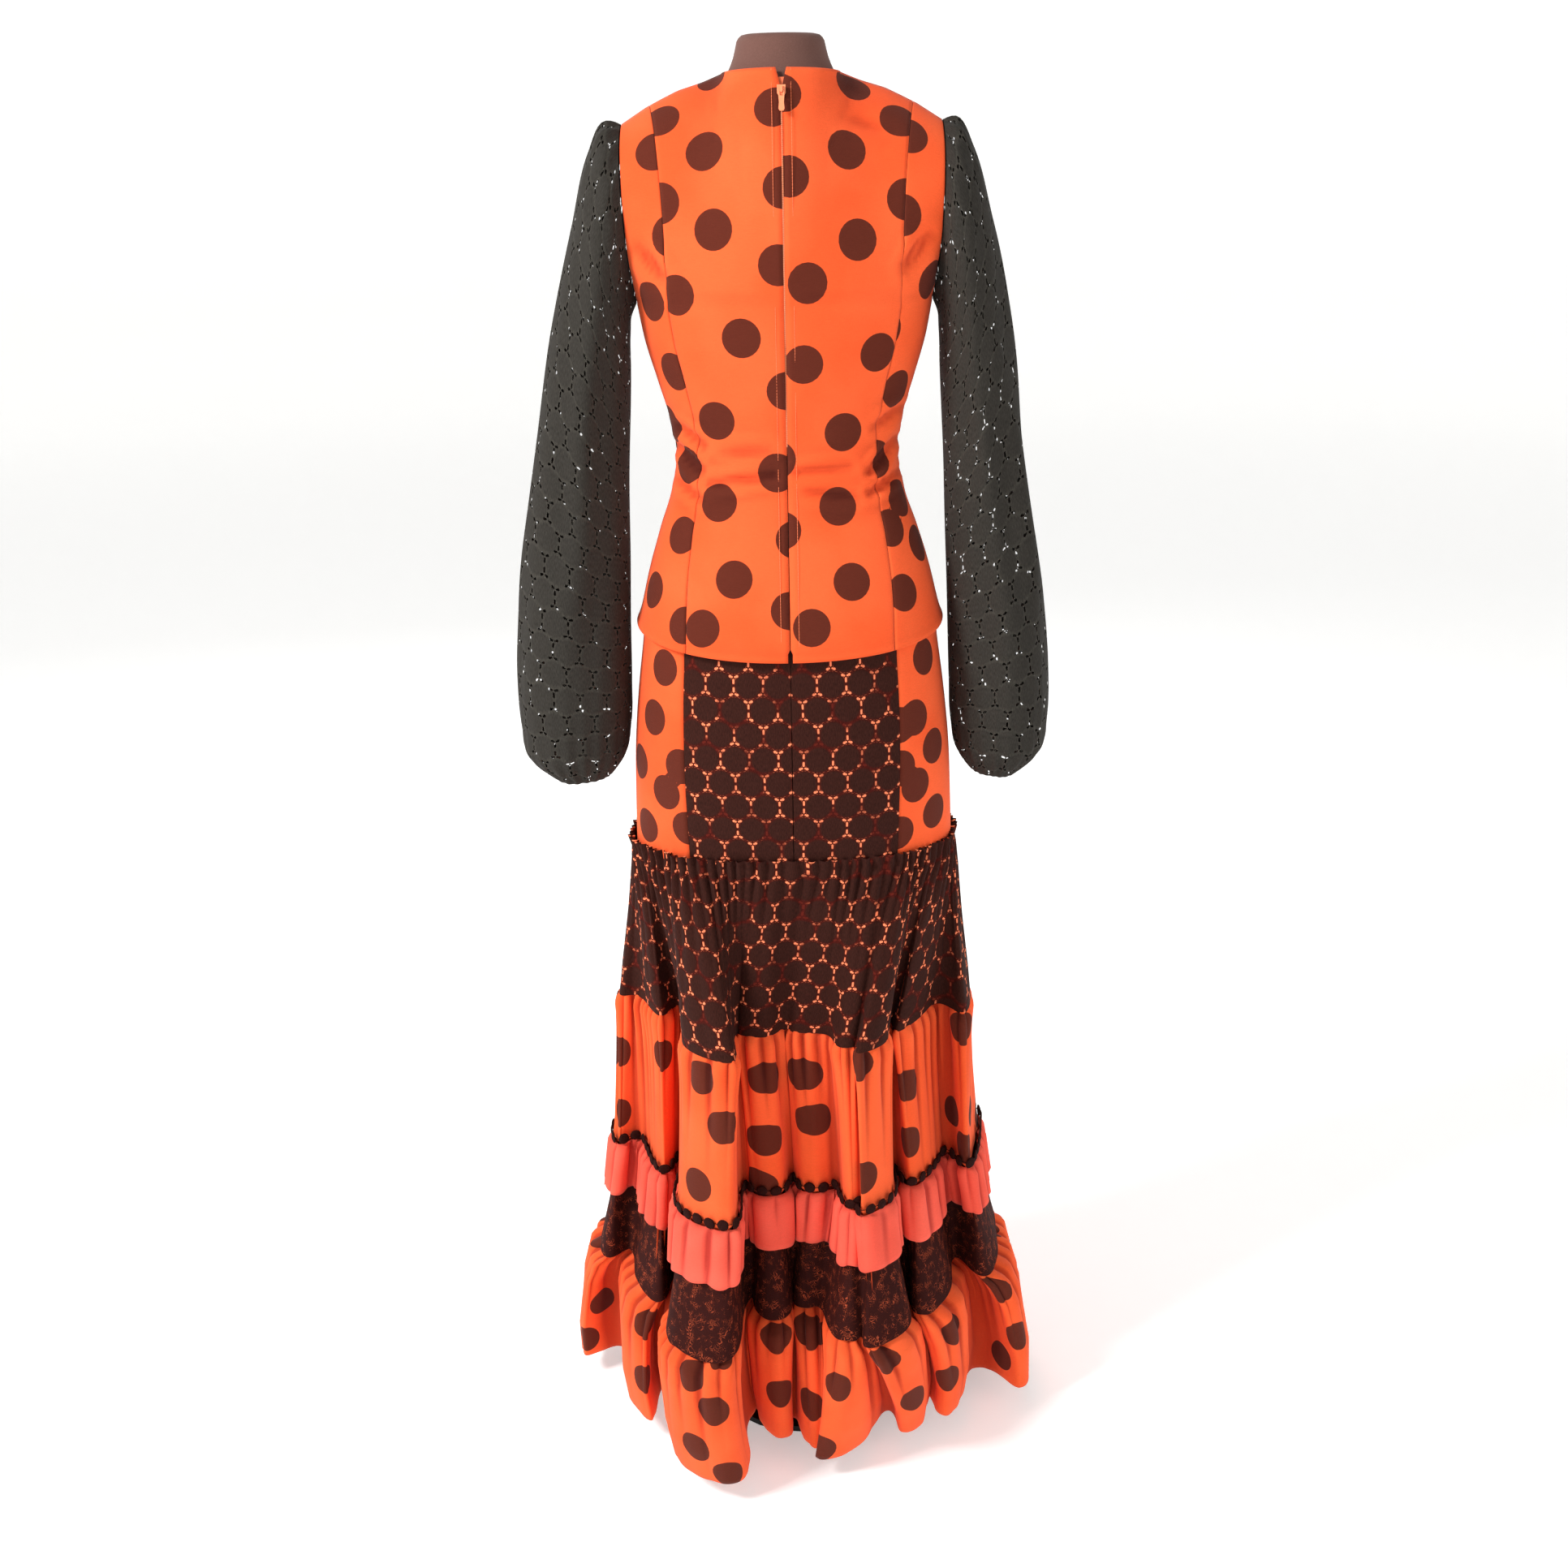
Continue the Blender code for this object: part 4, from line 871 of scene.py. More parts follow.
def crease_shade(grid: Array, closed: bool, outward: float) -> Array:
    """Measures how far each point lies in a crease, for the painted shade there.

    Args:
        grid: Rows of points.
        closed: Whether the rows are rings.
        outward: 1 where the grid's own normals point out, else -1.

    Returns:
        0 on open cloth to 1 at the bottom of a crease.
    """
    normal = grid_normals(grid, closed, outward)
    shade = np.zeros(grid.shape[:2])
    for axis, reach, depth, most in RING_HOLLOWS if closed else PANEL_HOLLOWS:
        margin = [(0, 0), (0, 0), (0, 0)]
        margin[axis] = (reach, reach)
        wide = np.pad(grid, margin, mode="wrap" if closed else "edge")
        count = grid.shape[axis]
        before = wide.take(range(count), axis)
        beside = before + wide.take(range(2 * reach, count + 2 * reach), axis)
        below = ((0.5 * beside - grid) * normal).sum(axis=-1)
        if not closed and axis == 1:
            below[:, :reach] = below[:, -reach:] = 0.0
        if not closed and axis == 0:
            below[:reach] = below[-reach:] = 0.0
        shade += most * np.clip(below / depth, 0.0, 1.0)
    return np.minimum(shade, 1.0)


NOISE_VALUES = 512


def soft_noise(at: Array, pitch: float, seed: int) -> Array:
    """Smooth uneven values from -1 to 1 along a line.

    Args:
        at: Places in metres.
        pitch: Distance between independent values in metres.
        seed: Which run of values.

    Returns:
        A value for each place.
    """
    values = np.random.default_rng(seed).uniform(-1, 1, NOISE_VALUES)
    steps = np.asarray(at) / pitch
    i = np.floor(steps).astype(int)
    t = steps - i
    t = t * t * (3 - 2 * t)
    return values[i % NOISE_VALUES] * (1 - t) + values[(i + 1) % NOISE_VALUES] * t


def run_lengths(grid: Array) -> Array:
    """Flat cloth coordinates of a grid: metres across and metres up.

    Args:
        grid: Rows and columns of points.

    Returns:
        Two values for each point.
    """
    across = np.linalg.norm(np.diff(grid, axis=1), axis=2)
    up = np.linalg.norm(np.diff(grid, axis=0), axis=2)
    u = np.concatenate([np.zeros((grid.shape[0], 1)), np.cumsum(across, axis=1)], axis=1)
    v = np.concatenate([np.zeros((1, grid.shape[1])), np.cumsum(up, axis=0)], axis=0)
    u -= 0.5 * u[:, -1:]
    return np.stack([u, v], axis=-1)


class Hold(Enum):
    """How a cloth piece is held."""

    HUNG = "hung"
    GATHERED = "gathered"
    STRETCHED = "stretched"


@dataclass
class Shell:
    """One cloth piece as a grid of points with flat coordinates.

    The grid's rows run up the garment and its columns run round it.
    """

    name: str
    node: str
    slot: str
    grid: Array
    cut: Array
    closed: bool
    material: Material
    flat: Pair
    hold: Hold
    rests_on: tuple[str, ...]
    wall: float = 0.0
    outward: float = 1.0
    area: float | None = None
    dots: Array | None = None

    def build(self, extras: Sequence[Piece] = ()) -> Piece:
        """Args:
            extras: Separate pieces sewn on it. Not used.

        Returns:
            The new object.
        """
        rows, cols = self.grid.shape[:2]
        last = cols if self.closed else cols - 1
        r, c = np.meshgrid(np.arange(rows - 1), np.arange(last), indexing="ij")
        d = (c + 1) % cols
        quads = np.stack([r * cols + c, r * cols + d, (r + 1) * cols + d, (r + 1) * cols + c], -1)
        quads = quads.reshape(-1, 4)
        if self.outward < 0:
            quads = quads[:, ::-1]
        mesh = bpy.data.meshes.new(self.name)
        mesh.from_pydata(self.grid.reshape(-1, 3).tolist(), [], quads.tolist())
        mesh.materials.append(self.material)
        layer = mesh.uv_layers.new(name="cut")
        corner = np.empty(len(mesh.loops), np.int32)
        mesh.loops.foreach_get("vertex_index", corner)
        flat = self.cut.reshape(-1, 2)[corner].copy()
        if self.closed:
            width = (self.cut[:, -1, 0] - self.cut[:, 0, 0]) * cols / (cols - 1)
            seam = (corner % cols == 0).reshape(-1, 4)
            far = (corner % cols == cols - 1).reshape(-1, 4).any(axis=1)
            turn = seam & far[:, None]
            flat[turn.reshape(-1), 0] += width[corner[turn.reshape(-1)] // cols]
        layer.data.foreach_set("uv", flat.astype(np.float32).ravel())
        if self.dots is not None:
            edge = mesh.attributes.new("dot_edge", "FLOAT", "POINT")
            edge.data.foreach_set("value", self.dots.astype(np.float32).ravel())
        # Painted shade: each point's depth in a crease darkens the cloth's colour there
        hollow = mesh.attributes.new("hollow", "FLOAT", "POINT")
        depth = crease_shade(self.grid, self.closed, self.outward)
        hollow.data.foreach_set("value", depth.astype(np.float32).ravel())
        mesh.shade_smooth()
        mesh.update()
        piece = placed(self.name, mesh)
        if self.wall:
            body = piece.modifiers.new("wall", "SOLIDIFY")
            body.thickness = self.wall
            body.offset = -1.0
            body.use_quality_normals = True
        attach(piece, DRESS_BODY)
        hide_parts(self.node)
        LOG.info("%s: %d faces", self.name, len(mesh.polygons))
        return piece


DOT_RADIUS = 0.0190
DOT_SPACING = 0.066
DOT_TRIES = 2500
NO_DOT = 9.0


def dot_edges(points: Array, centres: Array, radius: float = DOT_RADIUS) -> Array:
    """Distance in millimetres from each point to the edge of the nearest dot.

    Args:
        points: Places, in two or three columns in the last axis.
        centres: Dot centres with the same number of columns.
        radius: The dots' radius in metres.

    Returns:
        Distances, negative inside a dot.
    """
    flat = points.reshape(-1, points.shape[-1])
    nearest = np.full(len(flat), NO_DOT)
    for centre in centres:
        np.minimum(nearest, np.linalg.norm(flat - centre, axis=1), out=nearest)
    return ((nearest - radius) / MM).reshape(points.shape[:-1])


def scattered(points: Array, given: Array, seed: int, free: Array | None = None) -> Array:
    """Adds dot centres of the print where the given ones leave room.

    Args:
        points: Places where a centre may lie.
        given: Centres that are there already.
        seed: Which scatter.
        free: Which of the places may be used.

    Returns:
        The given centres and the added ones.
    """
    flat = points.reshape(-1, points.shape[-1])
    order = np.random.default_rng(seed).permutation(len(flat))[:DOT_TRIES]
    found = [np.array(c) for c in given]
    for i in order:
        if free is not None and not free.reshape(-1)[i]:
            continue
        if all(np.linalg.norm(flat[i] - c) > DOT_SPACING for c in found):
            found.append(flat[i])
    return np.array(found).reshape(-1, points.shape[-1])


BAR_SIDES = 6
# Places of a bar's rings along it and their scale
BAR_RINGS = ((0.0, 0.35), (0.18, 1.0), (0.82, 1.0), (1.0, 0.35))


def bars(
    name: str,
    path: Array,
    across: Array,
    size: Pair,
    material: Material,
    every: int,
) -> Piece:
    """Short round-ended bars laid one after another on a path.

    Args:
        name: The new object's name.
        path: Points of the path.
        across: The direction in which the bars stand proud, for each point.
        size: Half thickness across and half height.
        material: The bars' material.
        every: Bars run between points this many apart, with a gap after each.

    Returns:
        The new object.
    """
    verts: list[Array] = []
    faces: Faces = []
    sides = BAR_SIDES
    for i in range(0, len(path) - 1, every):
        start, stop = path[i], path[i + 1]
        along = stop - start
        long = np.linalg.norm(along)
        if long < 1e-6:
            continue
        along = along / long
        up = across[i] - along * np.dot(along, across[i])
        up = up / np.linalg.norm(up)
        side = np.cross(along, up)
        base = len(verts)
        for share, scale in BAR_RINGS:
            for k in range(sides):
                a = 2 * math.pi * k / sides
                lift = up * math.sin(a) * size[1] + side * math.cos(a) * size[0]
                verts.append(start + along * long * share + lift * scale)
        faces += ring_faces(len(BAR_RINGS), sides, base)
        faces.append(tuple(base + k for k in reversed(range(sides))))
        faces.append(tuple(base + 3 * sides + k for k in range(sides)))
    return plain_mesh(name, verts, faces, material)


def placed(name: str, data: bpy.types.ID) -> Piece:
    """Puts a new object into the scene.

    Args:
        name: The object's name.
        data: Its mesh, light or camera.

    Returns:
        The object.
    """
    piece = bpy.data.objects.new(name, data)
    bpy.context.scene.collection.objects.link(piece)
    return piece


def plain_mesh(
    name: str, verts: Sequence, faces: Sequence, material: Material
) -> Piece:
    """A smooth-shaded mesh object that rides on the dress.

    Args:
        name: The object's name.
        verts: Its points.
        faces: Its faces.
        material: Its material.

    Returns:
        The new object.
    """
    mesh = bpy.data.meshes.new(name)
    mesh.from_pydata([tuple(float(x) for x in v) for v in verts], [], [tuple(f) for f in faces])
    mesh.materials.append(material)
    mesh.shade_smooth()
    mesh.update()
    piece = placed(name, mesh)
    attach(piece, DRESS_BODY)
    LOG.info("%s: %d faces", name, len(faces))
    return piece


# Creases of the top, from x and z to x and z, width and depth in millimetres
BACK_CREASES: Table = (
    (78, 1116, 12, 1124, 4.5, 2.2),
    (60, 1146, 20, 1148, 6, 1.1),
    (-6, 1127, -60, 1131, 5, 1.2),
    (-20, 1108, -70, 1101, 5, 1),
    (-83, 1124, -108, 1150, 5, 2.8),
    (-82, 1104, -110, 1116, 4.5, 2.4),
    (-88, 1166, -112, 1182, 5.5, 1.8),
    (86, 1126, 108, 1146, 5.5, 2.8),
    (84, 1152, 106, 1168, 5, 2),
    (88, 1100, 109, 1112, 4.5, 1.6),
    (-118, 1318, -136, 1345, 7, 2.4),
    (120, 1312, 137, 1338, 7, 2.2),
    (-60, 1452, -100, 1440, 8, 1),
)
FRONT_CREASES: Table = (
    (85, 1122, 30, 1128, 5, 1.8),
    (-82, 1130, -35, 1126, 5, 2),
    (104, 1148, 82, 1160, 5, 2.2),
    (-106, 1104, -84, 1112, 5, 2.2),
    (120, 1300, 94, 1262, 8, 2.2),
    (-120, 1302, -92, 1266, 8, 2),
    (112, 1420, 134, 1380, 8, 1.6),
)


def seam_dips(from_start: Array, from_end: Array, reach: float) -> Array:
    """Depth of the dips along both side seams of a panel, as a share.

    Args:
        from_start: Distance of each point from one seam.
        from_end: Distance from the other.
        reach: Over how many metres a dip fades.

    Returns:
        About 1 at a seam and 0 in the middle.
    """
    return np.exp(-from_start / reach) + np.exp(-from_end / reach)


# A crease fades to this share at its ends, and low ridges run beside it
CREASE_END = 0.35
RIDGE_SHARE = 0.45
RIDGE_AWAY = 1.9


def crease_depth(points: Array, creases: Table) -> Array:
    """Total depth of the creases at each point.

    Args:
        points: Points of a panel.
        creases: The creases on that side of the top.

    Returns:
        Depths, positive inward.
    """
    total = np.zeros(points.shape[:-1])
    for x0, z0, x1, z1, width, depth in np.array(creases) * MM:
        ax, az = x1 - x0, z1 - z0
        long = ax * ax + az * az
        px, pz = points[..., 0] - x0, points[..., 2] - z0
        t = np.clip((px * ax + pz * az) / long, 0, 1)
        away = np.hypot(px - t * ax, pz - t * az)
        taper = CREASE_END + (1 - CREASE_END) * np.sin(math.pi * np.clip(t, 0.02, 0.98))
        ratio = away / width
        ridge = RIDGE_SHARE * np.exp(-((ratio - RIDGE_AWAY) ** 2))
        total += depth * taper * (np.exp(-(ratio**2)) - ridge)
    return total


@dataclass
class FittedTop:
    """The bodice: seven panels with princess seams and a centre back zip."""

    wear: Wardrobe
    wall: float = 0.0007
    pitch: float = 0.0042
    seam_half: float = 0.00015
    low_z: float = 0.946
    upper_rows: int = 46
    panel_width: float = 0.1116
    # The hem rises this much towards the sides
    hem_rise: float = 0.022
    # Rounds of smoothing above the underarm, and how far a point may move by it
    smoothing: int = 60
    most_out: float = 0.008
    most_in: float = 0.0022
    # The centre back: its opening at the zip, where the neck opens and how fast, the hem's slit
    zip_gap: float = 0.0003
    neck_open: Pair = (0.90, 0.018)
    slit: Pair = (0.957, 0.0012)
    # Seams: depth and width of the dip, and the pitch of its puckers
    seam_dip: float = 0.0005
    seam_reach: float = 0.0028
    pucker_pitch: float = 0.012
    crease_gain: float = 2.6
    crease_most: float = 0.0036
    wave_depth: float = 0.0012
    # The hem stands off by so much and fades over so much
    hem_lift: Pair = (0.0040, 0.011)
    hem_stitch: float = 0.012
    stitch_pitch: float = 0.0030
    stitch_size: Pair = (0.00028, 0.00022)
    centre_stitch_x: float = 0.0090
    back_creases: Table = BACK_CREASES
    front_creases: Table = FRONT_CREASES

    def panel_grid(self, back: bool, first: float, last: float) -> tuple[Array, Array, Array]:
        """Points of one panel.

        Args:
            back: True for the back.
            first: Where it starts: -2 left side, -1 left seam, 0 centre, 1 right seam, 2 right.
            last: Where it ends, in the same terms.

        Returns:
            The grid, each point's place in the same terms, and each row's rise.
        """
        lower = np.arange(self.low_z, UNDERARM_Z - 0.5 * self.pitch, self.pitch)
        upper = np.linspace(0.0, 1.0, self.upper_rows)
        z = np.concatenate([lower, np.full(len(upper), UNDERARM_Z)])
        rise = np.concatenate([np.zeros(len(lower)), upper])
        count = int(round(self.panel_width / self.pitch * abs(last - first))) + 1
        c = np.linspace(first, last, count)[None, :].repeat(len(z), axis=0)
        gap = self.centre_gap(z, rise) / 0.10 if back else np.zeros(len(z))
        nudge = self.seam_half / 0.05
        for column, at, way in ((0, first, 1.0), (-1, last, -1.0)):
            shift = gap if at == 0 and back else np.full(len(z), nudge)
            if abs(at) == 2:
                shift = np.where(rise > 0, 0.0, nudge)
            c[:, column] += way * shift
        seam = steps_read(PRINCESS, z) + (PRINCESS_AT_SHOULDER - PRINCESS[-1][1]) * rise**1.3
        seam = seam[:, None]
        away = np.abs(c)
        share = np.clip(np.where(away <= 1, seam * away, seam + (1 - seam) * (away - 1)), 0, 1)
        t = np.clip((z[:, None] - self.low_z) / (HEM_BAND_Z - self.low_z), 0.0, 1.0)
        hem = self.low_z + self.hem_rise * share**1.6
        height = np.where(z[:, None] < HEM_BAND_Z, hem + t * (HEM_BAND_Z - hem), z[:, None])
        side = 1.0 if back else -1.0
        angle = side * 0.5 * math.pi * (1 - share)
        low = section_points(TOP_SECTIONS, height, angle)
        high = upper_points(share, back, rise[:, None].repeat(count, 1))
        grid = np.where((rise > 0)[:, None, None], high, low)
        grid[..., 0] *= np.where(c > 0, -1.0, 1.0)
        soft = grid.copy()
        for i in np.flatnonzero((rise > 0) & (rise < 1)):
            for _ in range(int(self.smoothing * min(1.0, (1 - rise[i]) / 0.4))):
                soft[i, 1:-1] = 0.25 * soft[i, :-2] + 0.5 * soft[i, 1:-1] + 0.25 * soft[i, 2:]
        # Sideways and outward a point moves further than inward, where the form lies
        low = np.array([-self.most_out, -self.most_in, -self.most_in])
        high = np.full(3, self.most_out)
        if not back:
            low[1], high[1] = -high[1], -low[1]
        return grid + np.clip(soft - grid, low, high), c, rise

    def centre_gap(self, z: Array, rise: Array) -> Array:
        """Finds half the opening at the centre back.

        Args:
            z: Each row's height.
            rise: Each row's rise above the underarm.

        Returns:
            Half a gap for each row.
        """
        start, rate = self.neck_open
        gap = np.full(len(z), self.seam_half)
        gap = np.where(z > ZIP_END_Z, self.zip_gap, gap)
        gap = np.where(rise > start, self.zip_gap + (rise - start) * rate, gap)
        return np.where(z < self.slit[0], self.slit[1], gap)

    def panel(
        self, name: str, back: bool, first: float, last: float, flat: Pair, area: float
    ) -> None:
        """Builds one panel.

        Args:
            name: The solid that it stands for.
            back: True for the back.
            first: Where it starts, as in panel_grid.
            last: Where it ends.
            flat: Its cut size.
            area: Its cut area.
        """
        grid, _, rise = self.panel_grid(back, first, last)
        normal = grid_normals(grid, False, 1.0 if back else -1.0)
        creases = self.back_creases if back else self.front_creases
        span = np.linalg.norm(grid[:, -1] - grid[:, 0], axis=1)[:, None]
        columns = np.linspace(0, 1, grid.shape[1])[None, :]
        dip = seam_dips(columns * span, (1 - columns) * span, self.seam_reach)
        pucker = 1 + 0.5 * soft_noise(grid[..., 2], self.pucker_pitch, 3)
        depth = np.minimum(self.crease_gain * crease_depth(grid, creases), self.crease_most)
        depth = depth + self.seam_dip * dip * pucker
        wave = soft_noise(grid[..., 2] + 0.3 * grid[..., 0], 0.045, 7)
        wave = wave * soft_noise(grid[..., 0] + 0.2, 0.05, 11) * self.wave_depth
        lift, fade = self.hem_lift
        hem = np.exp(-np.maximum(grid[..., 2] - grid[0, :, 2], 0) / fade) * lift
        shaped = grid - normal * (depth + wave - hem)[..., None]
        inside = np.minimum(1.0, 4 * (1 - rise))[:, None, None]
        shaped = grid + (shaped - grid) * np.where((rise > 0)[:, None, None], inside, 1.0)
        dots = self.dots_for(name, back, shaped, first, last)
        Shell(
            f"{name}_cloth", name, "dotted_crepe", shaped, run_lengths(grid), False,
            self.wear.dotted, flat, Hold.STRETCHED, ("dress_form",), wall=self.wall,
            outward=1.0 if back else -1.0, area=area, dots=dot_edges(shaped, dots),
        ).build()

    def dots_for(self, name: str, back: bool, grid: Array, first: float, last: float) -> Array:
        """Finds the centres of a panel's printed dots.

        Args:
            name: The solid that the panel stands for.
            back: True for the back.
            grid: The panel's points.
            first: Where it starts, as in panel_grid.
            last: Where it ends.

        Returns:
            The centres.
        """
        if name in TOP_DOTS:
            whole, _, _ = self.panel_grid(True, -2.0, 2.0)
            flat = whole.reshape(-1, 3)
            spots = np.array(TOP_DOTS[name]) * MM
            return flat[[np.argmin(np.hypot(*(flat[:, ::2] - spot).T)) for spot in spots]]
        seed = 40 + int(10 * first + 3 * last) + (50 if back else 0)
        return scattered(grid, np.zeros((0, 3)), seed)

    def stitching(self) -> None:
        """Topstitches along the hem and beside the centre back."""
        for title, back, first, last in (
            ("back_left", True, -2, -0.012),
            ("back_right", True, 0.012, 2),
            ("front", False, -2, 2),
        ):
            grid, _, _ = self.panel_grid(back, first, last)
            normal = grid_normals(grid, False, 1.0 if back else -1.0)
            row = int(round(self.hem_stitch / self.pitch))
            self.stitch(f"hem_stitches_{title}", grid[row], normal[row])
        whole, _, _ = self.panel_grid(True, -0.4, 0.4)
        normal = grid_normals(whole, False, 1.0)
        for title, side in (("left", 1.0), ("right", -1.0)):
            x = -side * self.centre_stitch_x
            line = np.array([read_line(row, -row[:, 0], x) for row in whole])
            out = np.array([read_line(n, -row[:, 0], x) for row, n in zip(whole, normal)])
            self.stitch(f"centre_stitches_{title}", line[2:], out[2:])

    def stitch(self, name: str, line: Array, out: Array) -> None:
        """Sews one row of stitches.

        Args:
            name: The new object's name.
            line: Points that the row follows.
            out: The cloth's normals there.
        """
        run = running_length(line)
        at = np.arange(0, run[-1], self.stitch_pitch)
        facing = unit(read_line(out, run, at))
        path = read_line(line, run, at) + facing * 0.0003
        bars(name, path, facing, self.stitch_size, self.wear.thread, 1)

    def build(self) -> None:
        """Builds the seven panels and their sewing."""
        side, middle, front = (0.130, 0.56), (0.150, 0.57), (0.270, 0.56)
        self.panel("top_back_side_left", True, -2, -1, side, 0.046)
        self.panel("top_back_left", True, -1, 0, middle, 0.060)
        self.panel("top_back_right", True, 0, 1, middle, 0.060)
        self.panel("top_back_side_right", True, 1, 2, side, 0.046)
        self.panel("top_front_side_left", False, -2, -1, side, 0.046)
        self.panel("top_front", False, -1, 1, front, 0.105)
        self.panel("top_front_side_right", False, 1, 2, side, 0.046)
        self.stitching()


@dataclass
class Sleeves:
    """Two long lace sleeves, full at the wrist, gathered into elastic cuffs."""

    wear: Wardrobe
    rows: int = 150
    turns: int = 168
    outset: float = 0.0009
    cuff_waves: int = 22
    cap_waves: int = 16
    cap_depth: float = 0.0022
    # The cuff's gathers: depth and the distance over which each part of them fades
    cuff_fades: Table = ((0.0011, 0.03), (-0.0014, 0.006), (0.0008, 0.07))
    # The long soft folds: waves round the arm and depth
    long_waves: Table = ((3, 0.0028), (5, 0.0024), (8, 0.0014))
    sag_depth: float = 0.0008
    # The cuff turned in: rows, height, wall and how much wider it gets
    inner_rows: int = 6
    turned_in: float = 0.020
    turn_gap: float = 0.0022
    inner_widening: float = 0.10

    def rings(self, left: bool) -> Array:
        """Lays plain rings of one sleeve from armhole to cuff.

        Args:
            left: True for the left sleeve.

        Returns:
            The rings, all on the left side.
        """
        turn = 2 * math.pi * np.arange(self.turns) / self.turns
        out_col, in_col = (2, 3) if left else (4, 5)
        rise = np.maximum(0.5 * (1 + np.cos(turn)), 1e-6)
        ones = np.ones_like(turn)
        over = upper_points(ones, True, rise)
        under = upper_points(ones, False, rise)
        start = np.where((np.sin(turn) >= 0)[:, None], over, under)
        start[:, 0] += self.outset
        rings = [start]
        for row in np.array(SLEEVE_RINGS) * MM:
            outer = np.array([row[out_col], 0.0, row[0]])
            inner = np.array([row[in_col], 0.0, row[1]])
            middle, reach = 0.5 * (outer + inner), 0.5 * (outer - inner)
            deep = np.array([0.0, row[6], 0.0])
            rings.append(middle + np.outer(np.cos(turn), reach) + np.outer(np.sin(turn), deep))
        return np.array(rings)

    def folds(self, turn: Array, from_cap: Array, length: float, seed: int) -> Array:
        """Measures how far gathers and folds move the lace outward.

        Args:
            turn: Angles round the arm.
            from_cap: Distance of each row from the armhole.
            length: Distance from armhole to cuff.
            seed: Which run of unevenness.

        Returns:
            A distance for each point of the sleeve.
        """
        down = from_cap / length
        to_cuff = (length - from_cap)[:, None]
        girth = turn * 0.075
        cuff = np.sin(self.cuff_waves * turn + 1.8 * soft_noise(girth, 0.05, seed)) * (
            0.75 + 0.4 * soft_noise(girth, 0.03, seed + 1)
        )
        cuff = cuff[None] * sum(size * np.exp(-to_cuff / fade) for size, fade in self.cuff_fades)
        crown = np.clip(np.cos(turn), 0, 1) ** 0.6
        cap = np.sin(self.cap_waves * turn + soft_noise(girth, 0.04, seed + 2)) * crown
        from_cap = from_cap[:, None]
        fades = np.exp(-from_cap / 0.03) * (1 - np.exp(-from_cap / 0.004))
        cap = cap[None] * self.cap_depth * fades
        ends = np.sin(math.pi * np.clip(down, 0.03, 0.96))[:, None]
        slow = np.zeros((self.rows, self.turns))
        for k, (waves, size) in enumerate(self.long_waves):
            swing = waves * turn[None] + 2.2 * soft_noise(down * 0.6, 0.16, seed + 20 + k)[:, None]
            slow += size * np.sin(swing + k) * ends
        slow += np.sin(from_cap / 0.030 + 2 * np.cos(turn)[None]) * self.sag_depth
        inner = 1 - 0.75 * np.clip(-np.cos(turn), 0, 1)[None]
        return slow * np.minimum(1.0, from_cap / 0.02) * inner + cuff + cap

    def grid(self, left: bool) -> Array:
        """Lays one sleeve at full detail.

        Args:
            left: True for the left sleeve.

        Returns:
            Points, rows from the armhole down to the cuff and back up inside it.
        """
        rings = self.rings(left)
        gaps = np.linalg.norm(np.diff(rings.mean(axis=1), axis=0), axis=1)
        keys = np.concatenate([[0.0], np.cumsum(np.maximum(gaps, 0.012))])
        at = np.linspace(0, keys[-1], self.rows)
        slopes = np.gradient(rings, keys, axis=0)
        i = np.clip(np.searchsorted(keys, at) - 1, 0, len(keys) - 2)
        span = (keys[i + 1] - keys[i])[:, None, None]
        t = (at - keys[i])[:, None, None] / span
        grid = hermite(t, (rings[i], rings[i + 1]), (span * slopes[i], span * slopes[i + 1]))
        turn = 2 * math.pi * np.arange(self.turns) / self.turns
        normal = grid_normals(grid, True, -1.0)
        grid = grid + normal * self.folds(turn, at, keys[-1], 5 if left else 9)[..., None]
        inside = grid[-1] - normal[-1] * self.turn_gap
        steps = np.linspace(0.0, 1.0, self.inner_rows)[:, None, None]
        lifts = steps * np.array([0.0, 0.0, self.turned_in])
        middle = inside.mean(axis=0)
        widen = 1 + steps * np.array([self.inner_widening, self.inner_widening, 0.0])
        grid = np.concatenate([grid, middle + (inside - middle) * widen + lifts])
        return grid if left else grid * np.array([-1.0, 1.0, 1.0])

    def cut_of(self, grid: Array) -> Array:
        """Lays the sleeve flat.

        Args:
            grid: The sleeve's points.

        Returns:
            Metres round the arm and metres down it for each point.
        """
        turn = np.arange(self.turns) / self.turns
        down = np.linalg.norm(np.diff(grid, axis=0), axis=2).mean(axis=1)
        v = np.concatenate([[0.0], np.cumsum(down)])
        girth = np.linalg.norm(np.roll(grid, -1, axis=1) - grid, axis=2).sum(axis=1)
        u = np.outer(girth, turn - 0.25)
        return np.stack([u, np.broadcast_to(-v[:, None], u.shape)], axis=-1)

    def build(self) -> None:
        """Builds both sleeves."""
        for name, left in (("sleeve_left", True), ("sleeve_right", False)):
            grid = self.grid(left)
            cut = self.cut_of(grid)
            Shell(
                f"{name}_lace", name, "sleeve_lace", grid[::-1], cut[::-1], True,
                self.wear.sleeve_lace, (0.40, 0.60), Hold.GATHERED, ("top_back_left_cloth",),
                outward=1.0 if left else -1.0,
            ).build()


